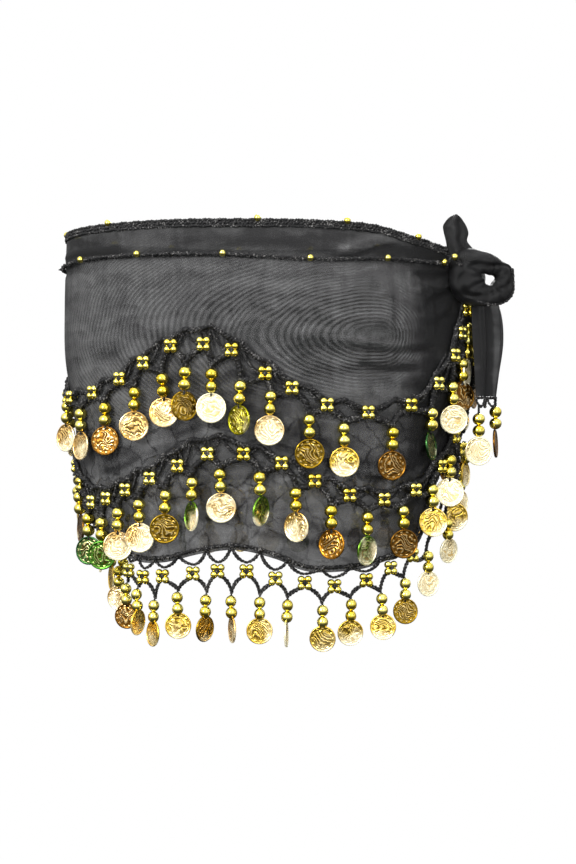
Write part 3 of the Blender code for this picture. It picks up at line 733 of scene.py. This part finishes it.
class Metalwork:        # the joined beads and the joined coins of one row
    def __init__(self):
        self.beads, self.coins = bmesh.new(), bmesh.new()
        self.coins.verts.layers.float_color.new("tint")
        self.coins.loops.layers.uv.new("coin")

    def add(self, target, form, matrix):
        first = len(target.verts)
        target.from_mesh(forms[form])
        target.verts.ensure_lookup_table()
        fresh = target.verts[first:]
        bmesh.ops.transform(target, matrix=matrix, verts=fresh)
        return fresh

    def addBead(self, form, place, stretch=None):
        matrix = Matrix.Translation(Vector(place))
        self.add(self.beads, form, matrix @ stretch if stretch else matrix)

    def addCoin(self, place, facing, tilt, roll, tone, size=1.0):
        turn = math.radians(facing)
        flat = math.cos(tilt)
        normal = Vector((math.sin(turn) * flat, -math.cos(turn) * flat, math.sin(tilt)))
        side = Vector((0, 0, 1)).cross(normal).normalized()
        matrix = Matrix((side, normal.cross(side), normal)).transposed().to_4x4()
        matrix = Matrix.Translation(Vector(place)) @ matrix @ Matrix.Rotation(roll, 4, "Z")
        fresh = self.add(self.coins, "coin", matrix @ Matrix.Scale(size, 4))
        colour, flare = tints[tone]
        layer = self.coins.verts.layers.float_color["tint"]
        for vert in fresh:
            vert[layer] = (*colour, flare)

    def floret(self, place, out, up):        # four small beads held in a square
        side = np.cross(up, out)
        for across in (-1, 1):
            for rise in (-1, 1):
                self.addBead("small", place + bead["small"] * 0.9 * (across * side + rise * up))

    def pieces(self, stem, nodes):
        meshPiece(stem + "Beads", self.beads, "gilt")
        meshPiece(stem + "Coins", self.coins, "coin", nodes)


hemFall = {"depth": -0.021, "angles": (-40, -165), "spreads": (24, 60), "top": -0.176, "reach": 0.05}
pendant = {"stand": 0.006, "footLift": 0.0034, "topDrop": 0.005, "frontLift": 0.0045, "sway": 0.0006}


def hemDraw(angle, height):        # the hem's net falls inwards where the hips taper, at the right side
    (near, far), (nearSpread, farSpread) = hemFall["angles"], hemFall["spreads"]
    side = soften((near - np.asarray(angle)) / nearSpread) * soften((np.asarray(angle) - far) / farSpread)
    return hemFall["depth"] * side * soften((hemFall["top"] - np.asarray(height)) / hemFall["reach"])


def hangPendant(metal, cords, angle, height, facing, tone, dice, size, lift):
    # two beads and a coin below a knot of the net; the coin's facing is an angle like the hips' angles
    askew = abs(math.sin(math.radians(facing - angle)))
    stand = max(pendant["stand"], 0.0012 + coin["radius"] * 0.98 * askew) + lift
    pitch, radius = bead["pitch"] * (0.5 + size / 2), coin["radius"] * size
    foot = onHips(angle, height, pendant["footLift"] + lift)
    top = onHips(angle, height - pendant["topDrop"], stand)
    if -95 < angle < 95:        # seen from the front it hangs straight below its knot
        top[0] = onHips(angle, height - pendant["topDrop"], pendant["frontLift"] + lift)[0]
    sway = np.array([dice.uniform(-pendant["sway"], pendant["sway"]), 0, 0])
    for k in (0, 1):
        width = size * dice.uniform(0.97, 1.03)
        stretch = Matrix.Diagonal((width, width, 0.5 + size / 2, 1))
        metal.addBead("round", top - (0, 0, pitch * k) + sway * k, stretch)
    drop = coin["hemDrop"] if size < 1 else coin["drop"]
    middle = top - np.array([0, 0, drop]) + sway * 2
    metal.addCoin(middle, facing, dice.uniform(-0.1, 0.1), dice.uniform(-0.16, 0.16), tone, size)
    down = np.array([0, 0, -1.0])
    cords.lump(foot + 0.4 * (top - foot), down, 0.0015, 1.1)
    cords.lump(top - (0, 0, pitch / 2), down, 0.0013, 0.5)
    cords.lump(middle + (0, 0, radius - 0.0012), down, 0.001, 1.9)
    cords.spline(np.array([foot, top, top - (0, 0, pitch), middle + (0, 0, radius)]), 0.0006)


# the three rows: crocheted net, florets, pendants
# each front pendant is its angle, the height of its upper bead, the way its coin faces and its tone

rowOne = {
    "table": netOne, "stem": "row_1", "size": 1.0, "lift": 0.003, "floretShare": 0.42, "seed": 11,
    "pendants": (
        (-84, -0.1127, -42, "cream"), (-65.0, -0.1189, -52, "cream"), (-50.4, -0.1148, -14, "brown"),
        (-37.9, -0.1036, 4, "cream"), (-28.7, -0.0934, -6, "cream"), (-21.8, -0.0888, 34, "dark"),
        (-14.7, -0.0902, 3, "white"), (-7.2, -0.0992, -44, "olive"), (0.6, -0.1068, 2, "cream"),
        (10.8, -0.1242, 8, "dark"), (20.5, -0.1304, -3, "gold"), (35.9, -0.1335, 16, "brown"),
        (50.2, -0.1186, 66, "moss"), (58.9, -0.0983, 12, "white"), (63.3, -0.0802, 30, "brown"),
        (66.5, -0.0618, 70, "white"),
    ),
    "florets": (
        (-72, -0.1059), (-55.3, -0.1025), (-42.8, -0.0925), (-34.1, -0.0809), (-25.6, -0.0688),
        (-16.6, -0.0676), (-9.3, -0.0721), (-0.8, -0.0895), (6.1, -0.1003), (15.5, -0.1127),
        (27.3, -0.1182), (41.2, -0.1125), (51.4, -0.0955), (58.1, -0.0734), (61.6, -0.056),
    ),
    "loose": (
        (64.0, -0.0377), (66.5, -0.053), (68.0, -0.06), (70.5, -0.07), (73.5, -0.076),
    ),
    "frontTones": (),
}
rowTwo = {
    "table": netTwo, "stem": "row_2", "size": 1.0, "lift": 0.003, "floretShare": 0.44, "seed": 23,
    "pendants": (
        (-68.5, -0.2013, -20, "moss"), (-58.2, -0.2036, -10, "leaf"), (-48.7, -0.1951, 12, "cream"),
        (-39.8, -0.1882, -8, "cream"), (-30.1, -0.1808, 6, "dark"), (-21.5, -0.1708, -62, "green"),
        (-13.4, -0.1644, 6, "cream"), (-2.4, -0.1666, 60, "green"), (7.5, -0.1785, -38, "cream"),
        (17.7, -0.1917, -34, "amber"), (29.1, -0.1973, 48, "green"), (41.8, -0.1932, 16, "brown"),
        (54.2, -0.1775, 8, "gold"), (63.5, -0.155, 8, "white"), (71.5, -0.1754, 20, "gold"),
    ),
    "florets": (
        (-63.8, -0.1875), (-54.1, -0.1842), (-44.7, -0.177), (-35.1, -0.1678), (-25.7, -0.1582),
        (-16.7, -0.1491), (-6.7, -0.1491), (3.6, -0.1559), (12.8, -0.1692), (23.1, -0.1802),
        (34.3, -0.1838), (46.1, -0.1771), (58.1, -0.1594), (65.0, -0.1365),
    ),
    "loose": (),
    "frontTones": ("white", "gold", "white", "cream", "gold"),
}
rowHem = {
    "table": netHem, "stem": "hem", "size": 0.88, "lift": 0.0014, "floretShare": 0.5, "seed": 37,
    "pendants": (
        (-65.0, -0.243, -20, "cream"), (-52.0, -0.2545, -12, "brown"), (-42.5, -0.2565, 64, "gold"),
        (-35.8, -0.2646, -58, "gold"), (-27.5, -0.2576, 4, "gold"), (-18.3, -0.2585, 52, "dark"),
        (-10.8, -0.2589, -74, "cream"), (-2.5, -0.2602, 6, "gold"), (5.5, -0.2617, 84, "white"),
        (15.8, -0.2666, -4, "gold"), (24.7, -0.2627, 10, "gold"), (35.0, -0.2591, -8, "gold"),
        (44.1, -0.2487, 14, "dark"), (54.6, -0.2291, 30, "white"), (66.0, -0.205, 42, "white"),
    ),
    "florets": (
        (-59.5, -0.233), (-48.5, -0.2395), (-40.0, -0.2434), (-32.6, -0.2421), (-22.4, -0.2393),
        (-14.8, -0.2371), (-6.3, -0.237), (2.0, -0.2424), (10.5, -0.2458), (19.4, -0.2487), (29.6, -0.2449),
        (38.3, -0.2364), (47.2, -0.2275), (59.5, -0.206),
    ),
    "loose": (),
    "frontTones": ("gold", "white", "cream", "gold", "white", "gold"),
}
hiddenTones = ("cream", "gold", "gold", "dark", "brown", "white", "green", "gold", "cream", "amber")
# shared by the rows
rows = {
    "pitch": 0.0257, "leastDepth": 0.017, "leastFrontDepth": 0.0105, "thread": 0.00072, "knotDrop": 0.005,
    "knotLump": 0.0026, "sag": 0.0034, "margin": 0.004, "picotGap": 0.005,
}


def rowPlaces(row, line):        # every pendant and floret of a row, from the back end to the front end
    dice = random.Random(row["seed"])
    front = [(line.runAt(angle), angle, height + rows["knotDrop"], facing, tone)
             for angle, height, facing, tone in row["pendants"]]
    hidden, run = [], front[0][0] - rows["pitch"]
    while run > 0.01:
        if line.at(run)[2] >= rows["leastDepth"]:
            angle, height = line.below(run)
            turned = dice.uniform(-58, 58) * (0.2 if -118 < angle < -68 else 1.0)
            hidden.append((run, angle, height, angle + turned, dice.choice(hiddenTones)))
        run -= rows["pitch"]
    last, run = [], front[-1][0] + rows["pitch"]
    for tone in row["frontTones"]:
        if run > line.end - 0.008 or line.at(run)[2] < rows["leastFrontDepth"]:
            break
        angle, height = line.below(run)
        last.append((run, angle, height, dice.uniform(10, 70), tone))
        run += rows["pitch"]
    pendants = hidden[::-1] + front + last
    florets = []
    for k, (left, right) in enumerate(zip(pendants, pendants[1:])):
        place = k - len(hidden)
        if 0 <= place < len(row["florets"]):
            florets.append(row["florets"][place])
        else:
            angle, height = line.below((left[0] + right[0]) / 2, row["floretShare"])
            florets.append((float(angle), float(height)))
    return pendants, florets


def buildRow(row):
    line = NetLine(row["table"])
    hem = row["stem"] == "hem"
    lift, thread = row["lift"], rows["thread"]
    dice = random.Random(row["seed"] + 1)
    metal, cords = Metalwork(), Cords(row["stem"].replace("_", "") + "Net")
    draw = hemDraw if hem else lambda angle, height: 0.0
    pendants, florets = rowPlaces(row, line)
    first, last = rows["margin"], line.end - rows["margin"]
    stops = [first] + [place[0] for place in pendants] + [last]

    def lay(path, away, strand, spread, turn):        # a twisted thread along angles and heights
        angles, heights = path[:, 0], path[:, 1]
        cords.onHips(angles, heights, lift + away + draw(angles, heights), strand, spread, turn=turn)

    def stitches(path, away, size, gap, lower=0.0):        # uneven stitches along the same
        cords.picots(onHips(path[:, 0], path[:, 1] - lower, lift + away), dice, size, gap)

    if hem:        # the chain along the cloth's edge
        path = np.c_[line.below(np.linspace(first, last, 900), drop=0.0004)]
        cords.onHips(path[:, 0], path[:, 1], lift, 0.00095, 0.0009, pitch=0.005)
        stitches(path, 0.0008, 0.0012, rows["picotGap"])
    for k, (start, end) in enumerate(zip(stops, stops[1:])):
        t = np.linspace(0, 1, 18)
        hang = 4 * t * (1 - t) * (end - start) / rows["pitch"]
        path = np.c_[line.below(blend(start, end, t), drop=rows["sag"] * hang)]
        if hem and 0 < k < len(stops) - 2:        # swags from knot to floret to knot, clear of the cloth
            flower, low = florets[k - 1][0], florets[k - 1][1] + bead["small"] * 2.2
            for knotRun in (start, end):
                knot = [float(value) for value in line.below(knotRun, drop=0.001)]
                for bend in (0.55, 0.78):
                    swag = arc(knot, (flower, low), (blend(knot[0], flower, 1 - bend), low + 0.0012), 12)
                    lay(swag, 0, thread * 0.85, thread * 0.8, k + bend)
        elif hem:
            lay(path, 0, thread, thread, k)
        else:
            cords.onHips(path[:, 0], path[:, 1], lift + 0.001, 0.0012, 0.0013, pitch=0.005, turn=k)
            stitches(path, 0.002, 0.0014, rows["picotGap"])
        if k < len(stops) - 2:
            knotAngle, knotHeight = line.below(end, drop=0.0006)
            cords.lump(onHips(knotAngle, knotHeight, lift + 0.001), outward(knotAngle), rows["knotLump"], 0.8)
    size, up = bead["small"] * 1.85, np.array([0, 0, 1.0])
    for k, (angle, height) in enumerate(florets):
        sides = ((pendants[k], -1), (pendants[k + 1], 1))
        out = outward(angle)
        middle = onHips(angle, height, lift + 0.0026 + draw(angle, height))
        metal.floret(middle, out, up)
        for way in (up, np.cross(up, out)):
            cords.lump(middle + out * 0.0008, way, 0.0013, 2.2)
        perDegree = np.linalg.norm(onHips(angle + 0.5, height) - onHips(angle - 0.5, height))
        wide = size * 0.55 / perDegree
        if not hem:        # short threads from the chain's sag to the floret's top
            sagAngle, sagHeight = line.below((pendants[k][0] + pendants[k + 1][0]) / 2, drop=rows["sag"])
            for sign in (-1, 1):
                aside = sign * wide
                path = arc((sagAngle + aside * 0.9, sagHeight), (angle + aside, height + size * 0.8),
                           (angle + aside * 0.2, (sagHeight + height) / 2 + 0.003), 8)
                lay(path, 0.0006, thread, thread * 0.8, k)
        double, strand, spread = (0.0016, 1.0, 0.9) if hem else (0.0012, 1.8, 1.8)
        for knot, sign in sides:        # arches from the floret down to its pendants
            drop = max(0.0, height - size - knot[2])
            start = (angle + sign * wide * 0.8, height - size * 0.75)
            bend = (knot[1] - 0.1 * (knot[1] - angle), height - size * 0.9 - drop * 0.12)
            path = arc(start, (knot[1], knot[2]), bend)
            for away in (0.0, double):
                inner = path.copy()
                inner[:, 1] -= away * np.sin(np.linspace(0, math.pi, len(inner)))
                lay(inner, 0.0006 + away * 0.2, thread * strand, thread * spread, k + away * 900)
            if not hem:
                stitches(path, 0.0022, 0.0015, 0.0046, 0.0006)
        if not hem:        # the crochet fills the space beside the florets
            for knot, sign in sides:
                topAngle, topHeight = line.below(knot[0], drop=0.0)
                path = arc((topAngle, topHeight), (angle + sign * wide * 1.2, height),
                           (blend(topAngle, angle, 0.35), height + 0.001), 10)
                lay(path, 0.0006, thread * 1.1, thread, k)
    for _, angle, height, facing, tone in pendants:
        angle, height = float(angle), float(height)
        fall = float(draw(angle, height))
        hangPendant(metal, cords, angle, height, facing, tone, dice, row["size"], fall)
    for angle, height in row["loose"]:        # florets bunched by the knot
        metal.floret(onHips(angle, height, 0.007), outward(angle - 25), up)
    metal.pieces(row["stem"].replace("_", ""), places(row["stem"] + "_coin_fringe"))
    cords.piece(places(row["stem"] + "_net"))
    print(row["stem"], "row:", len(pendants), "pendants,", len(florets), "florets")


for row in (rowOne, rowTwo, rowHem):
    buildRow(row)


# top edging, waist chain and their small beads

edging = {
    "ends": (-280, 56), "low": 0.0008, "high": 0.0052, "strand": 0.00072, "stitch": 0.0046, "lift": 0.0006,
    "beads": (-90, -48.6, -2.8, 21.0, 43.7), "hiddenBeads": (-258, -98, 22.0), "beadRise": 0.0066,
}
chain = {
    "lift": 0.0026, "strand": 0.00092, "wave": 0.0003, "tab": (-90, -0.0015, 0.003),
    "beads": (-60.2, -36.3, -11.7, 10.7, 32.2, 53.0), "hiddenBeads": (-278, -100, 22.0), "beadLift": 0.0048,
}


def topLine():        # angles and heights of the cloth's top edge, at even runs
    inside = (stripFine[:, 0] > edging["ends"][0]) & (stripFine[:, 0] < edging["ends"][1])
    angles, heights = stripFine[inside, 0], stripFine[inside, 1]
    run = runOf(onHips(angles, heights))
    even = np.arange(0, run[-1], edging["stitch"] / 4)
    return even, np.interp(even, run, angles), np.interp(even, run, heights)


def beadAngles(settings):        # those seen from the front, then evenly spaced ones behind
    return list(settings["beads"]) + list(np.arange(*settings["hiddenBeads"]))


def buildTopEdging(metal, dice):
    cords = Cords("topEdging")
    run, angles, heights = topLine()
    low, high, strand = edging["low"], edging["high"], edging["strand"]
    for k, (rise, stout) in enumerate(((low, 1.3), (high, 1.15))):
        wave = 0.00025 * np.sin(run * 540 + k * 2)
        cords.onHips(angles, heights + rise + wave, edging["lift"], strand * stout, strand, pitch=0.0044,
                     turn=k)
    between = heights + (low + high) / 2 + 0.0005 * np.sin(run * 700)
    cords.onHips(angles, between, 0.0001, 0.0012, 0.001, pitch=0.006)
    for k in range(0, len(run) - 4, 4):        # slanting stitches between the rails
        end = k + 3 if dice.random() > 0.12 else k + 1
        t = np.linspace(0, 1, 5)
        slant = np.interp(blend(run[k], run[end], t), run, angles)
        rise = np.interp(blend(run[k], run[end], t), run, heights) + blend(low, high, t)
        cords.onHips(slant, rise, 0.0008, 0.0006, 0.0005, pitch=0.005, step=0.0012, turn=k)
    for angle in beadAngles(edging):
        height = np.interp(angle, angles, heights)
        metal.addBead("tiny", onHips(angle, height + edging["beadRise"], 0.0012))
        cords.lump(onHips(angle, height + high, 0.0008), upwards, 0.001)
    cords.piece(places("top_edging"))


def buildWaistChain(metal, dice):
    cords = Cords("waistChain")
    fine = smoothTable(waistChain, 30)
    angles, heights, lift = fine[:, 0], fine[:, 1], chain["lift"]
    wave = chain["wave"] * np.sin(angles * 3.1)
    cords.onHips(angles, heights + wave, lift, chain["strand"], 0.00085, pitch=0.004)
    cords.picots(onHips(angles, heights, 0.0032), dice, 0.0011, 0.0065)
    cords.onHips(angles, heights - 0.0004 + wave * 2, 0.003, 0.0004, 0.001, pitch=0.007)
    for angle in beadAngles(chain):
        height = np.interp(angle, angles, heights)
        metal.addBead("tiny", onHips(angle, height + 0.0004, chain["beadLift"]))
    tab = onHips(*chain["tab"])        # the end of yarn that stands out at the right side
    cords.spline(np.array([tab, tab + (-0.0022, 0, 0.0006), tab + (-0.0042, 0, 0.0002)]),
                 np.array([0.0016, 0.0012, 0.0003]))
    cords.piece(places("waist_chain"))


edgeMetal, edgeDice = Metalwork(), random.Random(3)
buildTopEdging(edgeMetal, edgeDice)
buildWaistChain(edgeMetal, edgeDice)
meshPiece("edgeBeads", edgeMetal.beads, "gilt")
print("edgings made")


# the tie: knot, loop, ear and hanging tail

knot = {
    "angle": 62.5, "height": -0.0115, "lift": 0.0135, "lean": -14, "halfSize": (0.0102, 0.0092, 0.0195),
    "bead": (0.1421, -0.0722, 0.0008),
}
loop = {"middle": (0.1704, -0.075, -0.0156), "turn": 18, "wall": 0.0005, "grid": (150, 40), "back": 0.017}
ear = {"depth": -0.059, "crown": 0.003, "wall": 0.0005, "grid": (40, 50), "crease": 0.0016}
tail = {
    "folds": (0.0, 0.0022, -0.001, 0.003, 0.0), "wall": 0.0004, "grid": (64, 120), "netDepth": 0.008,
    "arches": (0.0, 0.27, 0.55, 0.8, 1.0),
    "pendants": ((0.08, 14, "white", 0.0058), (0.78, 76, "brown", 0.0)),
}
loopFront = (0.3, -0.95, 0.0)        # the way the loop faces


def buildKnot():
    bm = bmesh.new()
    bmesh.ops.create_uvsphere(bm, u_segments=64, v_segments=44, radius=1.0)
    denseAndShaded = bm.verts.layers.float.new("denseAndShaded")
    for vert in bm.verts:        # wraps of cloth drawn round the middle, on a slant
        turn = math.atan2(vert.co.y, vert.co.x)
        wrap = vert.co.z * 3.1 + 0.35 * math.sin(turn + 0.6)
        fold = abs(math.sin(wrap * 1.9)) ** 0.6 + 0.25 * math.sin(5 * turn + 4 * vert.co.z)
        vert.co *= 0.9 + 0.13 * fold
        # painted shade: a higher value, darker, in the wraps' hollows and a lower one, paler, on their bulges
        vert[denseAndShaded] = 1.3 - 0.35 * fold
    bmesh.ops.scale(bm, vec=knot["halfSize"], verts=bm.verts)
    turned = Matrix.Rotation(math.radians(knot["angle"]), 4, "Z")
    turned = turned @ Matrix.Rotation(math.radians(knot["lean"]), 4, "Y")
    bmesh.ops.transform(bm, matrix=turned, verts=bm.verts)
    bmesh.ops.translate(bm, vec=onHips(knot["angle"], knot["height"], knot["lift"]), verts=bm.verts)
    bm.loops.layers.uv.new("cloth")
    return meshPiece("knot", bm, "tieCloth", ("tie_knot",))


def ringRadius(table, direction):        # an outline's radius, smooth all the way round
    ring = [(place + turn, radius) for turn in (-360, 0, 360) for place, radius in table]
    k = max(i for i in range(len(ring) - 1) if ring[i][0] <= direction)
    return through(ring, k + (direction - ring[k][0]) / (ring[k + 1][0] - ring[k][0]))[1]


foldFine = smoothTable(loopFold, 12)


def loopPoint(direction, share, depth):
    turn, slope = math.radians(loop["turn"]), math.radians(direction)
    across = np.array([math.cos(turn), math.sin(turn), 0])
    inward = np.array([-math.sin(turn), math.cos(turn), 0])
    ray = across * math.cos(slope) + np.array([0, 0, math.sin(slope)])
    return np.array(loop["middle"]) + ray * ringRadius(loopOutline, direction) * share + inward * depth


def loopPlace(u, v):
    points, texture, densityAndShade = [], [], []
    for along, across in zip(u, v):
        direction = (360 * along) % 360
        turn = math.radians(direction)
        share, depth = readShare(across, foldFine)
        hole = ringRadius(loopHole, direction) / ringRadius(loopOutline, direction)
        share = hole + (1 - hole) * share
        drawn = 0.5 - 0.5 * math.cos(turn - 0.4)        # folds run out from the knot's side
        wrinkle = math.sin(5 * turn + 6 * across + 0.9) * 0.4 + math.sin(11 * turn - 5 * across + 1.3) * 0.4
        creasePlace = across - 0.45 - 0.13 * math.sin(2 * turn + 0.8)        # a crease runs round the loop
        crease = math.exp(-(creasePlace / 0.07) ** 2)
        share *= 1 + 0.02 * wrinkle * math.sin(math.pi * min(across * 1.4, 1))
        depth += loop["back"] * soften(-math.cos(turn) * 1.15 + 0.05) * share        # back into the knot
        depth += 0.0009 * wrinkle * (0.4 + drawn) * math.sin(math.pi * across) + 0.0016 * crease
        points.append(loopPoint(direction, share, depth))
        texture.append((0.2 + along * 0.09, across * 0.03))
        densityAndShade.append(0.8 + 0.25 * drawn - 0.3 * wrinkle + 0.6 * crease + 0.4 * (across < 0.1))
    return np.array(points), texture, np.clip(densityAndShade, 0, 1.3)


def earPlace(u, v):
    height, left, right = readShare(v, smoothTable(earShape, 12)[::-1])
    fold = np.sin(9.5 * u + 2.6 * v)
    y = ear["depth"] - ear["crown"] * np.sin(math.pi * u) + ear["crease"] * fold * np.sin(math.pi * u)
    edges = np.clip(np.abs(u - 0.5) * 2.6 - 0.75, 0, 1)
    # painted shade: darker where the fold sinks back
    densityAndShade = 0.55 + 0.6 * edges + 0.25 * fold + 0.4 * soften((v - 0.55) * 3)
    points = np.stack([blend(left, right, u), y, height], axis=-1)
    return points, np.stack([u * 0.02, height], axis=-1), np.clip(densityAndShade, 0, 1.3)


tailFine = smoothTable(tailShape, 20)
tailFolds = smoothTable([(fold,) for fold in tail["folds"]], 12)[:, 0]


def tailPoint(place, share, stand=0.0):
    height, front, back, frontAngle, backAngle = readShare(place, tailFine)
    stand = stand + np.interp(share, np.linspace(0, 1, len(tailFolds)), tailFolds)
    return onHips(blend(frontAngle, backAngle, share), height, blend(front, back, share) + stand)


def tailPlace(u, v):
    fold = np.sin(10.5 * u + 1.4 * v + 0.6 * np.sin(4 * v) + 0.4)
    wave = 0.0012 * fold * soften(1.3 - np.abs(u - 0.5) * 2) + 0.0005 * np.sin(27 * u - 2 * v)
    paler = soften(1 - np.abs(u - 0.63 - 0.05 * v) / 0.13)
    # painted shade: darker in the folds' troughs, paler on their crests
    densityAndShade = 0.55 - 0.16 * fold + 0.4 * soften(1 - v * 5) - 0.8 * paler * soften(1.6 - v * 1.1)
    return tailPoint(v, u, wave), np.stack([u * 0.032, v * 0.083], axis=-1), np.clip(densityAndShade, 0, 1)


def buildTailFringe():        # crocheted arches below the tail, and its two pendants
    cords, metal, dice = Cords("tailEdging"), Metalwork(), random.Random(8)
    shares = np.linspace(0.0, 1.0, 90)
    foot = tailPoint(np.ones(len(shares)), shares)
    outs = np.stack([outward(70)] * len(shares))
    cords.twist(foot - (0, 0, 0.0012), outs, 0.0008, 0.0007)
    for left, right in zip(tail["arches"], tail["arches"][1:]):
        inside = (shares >= left - 0.01) & (shares <= right + 0.01)
        t = np.linspace(0, 1, inside.sum())
        fall = 0.0016 + tail["netDepth"] * 0.8 * 4 * t * (1 - t)
        path = foot[inside] - np.stack([0 * fall, 0 * fall, fall], axis=-1)
        cords.twist(path, outs[inside], 0.0006, 0.0006)
        cords.lump(path[len(path) // 2], upwards, 0.0014)
    for share, facing, tone, drop in tail["pendants"]:
        place = tailPoint(1.0, share) - (0, 0, tail["netDepth"] + 0.0042 + drop)
        cords.spline(np.array([place, place + (0, 0, 0.006 + drop)]), 0.0009)
        for k in (0, 1):
            metal.addBead("round", place - (0, 0, bead["pitch"] * k))
        cords.lump(place + (0, 0, 0.0046), upwards, 0.0012)
        metal.addCoin(place - (0, 0, coin["drop"]), facing, dice.uniform(-0.05, 0.05), 0.05, tone)
    cords.piece(("tie_tail_edging",))
    metal.pieces("tail", ("tie_tail_coin_fringe",))


def buildLoopEdging():        # the chain's end at the knot, the loop's crocheted rim and a small bead
    cords, metal = Cords("loopEdging"), Metalwork()
    chainEnd = np.array([onHips(54.5, -0.006, 0.004), (0.1385, -0.0735, -0.0008), knot["bead"],
                         (0.147, -0.072, -0.005)])
    cords.twist(chainEnd, np.tile(loopFront, (len(chainEnd), 1)), 0.0009, 0.0009)
    rim = np.array([loopPoint(direction % 360, 0.975, -0.0004) for direction in np.linspace(-125, 25, 60)])
    cords.twist(rim, np.tile(loopFront, (len(rim), 1)), 0.0007, 0.0007)
    for spot in rim[4::6]:
        cords.lump(spot, upwards, 0.0014)
    metal.addBead("tiny", np.array(knot["bead"]) - (0, 0.0022, 0))
    meshPiece("knotBead", metal.beads, "gilt")
    cords.piece(())


knotPiece = buildKnot()
loopPiece = gridSheet("tieLoop", loop["grid"], loopPlace, "tieCloth", loop["wall"], ("tie_loop",))
earPiece = gridSheet("tieEar", ear["grid"], earPlace, "tieCloth", ear["wall"], ("tie_ear",))
tailPiece = gridSheet("tieTail", tail["grid"], tailPlace, "tieCloth", tail["wall"], ("tie_tail",))
buildTailFringe()
buildLoopEdging()
print("tie made")

# floor, light and camera

studio = {
    "floorHeight": -0.9, "floorSize": 3.0, "lens": 64.06, "camera": (0.0146, -1.25, -0.133),
    "rise": (0.0, -0.22, 0.97),        # light grows upwards and towards the front
    "stops": ((0.0, 0.03), (0.3, 0.08), (0.45, 0.28), (0.56, 1.1), (0.64, 1.25), (0.74, 0.8), (1.0, 2.0)),
}
lights = (        # name, place, what it points at, size, power
    ("key", (-1.5, -1.9, 0.9), (0, 0, -0.12), 0.9, 70), ("soft", (0.9, -1.8, 0.5), (0, 0, -0.12), 0.5, 9),
    ("back", (0.4, 1.8, 1.0), (0, 0, -0.1), 1.2, 40),
)


def buildFloor():
    bm = bmesh.new()
    bmesh.ops.create_grid(bm, x_segments=1, y_segments=1, size=studio["floorSize"] / 2)
    bmesh.ops.translate(bm, vec=(0, 0, studio["floorHeight"]), verts=bm.verts)
    mesh = keepForm("floor", bm)
    mesh.materials.append(Finish("paleFloor", Base_Color=(0.9, 0.9, 0.9, 1), Roughness=0.8).material)
    floor = bpy.data.objects.new("floor", mesh)
    bpy.context.scene.collection.objects.link(floor)
    floor.visible_glossy = False


def buildWorld():        # white behind the scarf; its metal and cloth see a brighter sky and a dim floor
    world = bpy.data.worlds.new("studio")
    world.use_nodes = True
    bpy.context.scene.world = world
    nodes, links = world.node_tree.nodes, world.node_tree.links
    white = nodes["Background"]
    white.inputs["Color"].default_value = (1, 1, 1, 1)
    white.inputs["Strength"].default_value = 1.0
    around = nodes.new("ShaderNodeBackground")
    direction = nodes.new("ShaderNodeTexCoord")
    turned = nodes.new("ShaderNodeVectorMath")
    turned.operation = "DOT_PRODUCT"
    turned.inputs[1].default_value = studio["rise"]
    ramp = nodes.new("ShaderNodeValToRGB")
    shift = nodes.new("ShaderNodeMapRange")
    path = nodes.new("ShaderNodeLightPath")
    mixer = nodes.new("ShaderNodeMixShader")
    while len(ramp.color_ramp.elements) < len(studio["stops"]):
        ramp.color_ramp.elements.new(0.5)
    for element, (place, light) in zip(ramp.color_ramp.elements, studio["stops"]):
        element.position = place
        element.color = (light, light, light, 1)
    shift.inputs["From Min"].default_value = -1.0
    links.new(direction.outputs["Generated"], turned.inputs[0])
    links.new(turned.outputs["Value"], shift.inputs["Value"])
    links.new(shift.outputs["Result"], ramp.inputs["Fac"])
    links.new(ramp.outputs["Color"], around.inputs["Color"])
    links.new(path.outputs["Is Camera Ray"], mixer.inputs["Fac"])
    links.new(around.outputs["Background"], mixer.inputs[1])
    links.new(white.outputs["Background"], mixer.inputs[2])
    links.new(mixer.outputs["Shader"], nodes["World Output"].inputs["Surface"])


def addLight(name, place, target, size, power):
    light = bpy.data.lights.new(name, "AREA")
    light.size = size
    light.energy = power
    lamp = bpy.data.objects.new(name, light)
    lamp.location = place
    lamp.rotation_euler = (Vector(target) - Vector(place)).to_track_quat("-Z", "Y").to_euler()
    bpy.context.scene.collection.objects.link(lamp)


def addCamera():        # level, facing the front
    lens = bpy.data.cameras.new("camera")
    lens.lens = studio["lens"]
    lens.sensor_width = 36.0
    camera = bpy.data.objects.new("camera", lens)
    camera.location = studio["camera"]
    camera.rotation_euler = (math.radians(90), 0, 0)
    bpy.context.scene.collection.objects.link(camera)
    bpy.context.scene.camera = camera


buildFloor()
buildWorld()
for light in lights:
    addLight(*light)
addCamera()
bpy.context.scene.view_settings.view_transform = "Standard"
bpy.context.scene.view_settings.look = "None"

print("scene built")
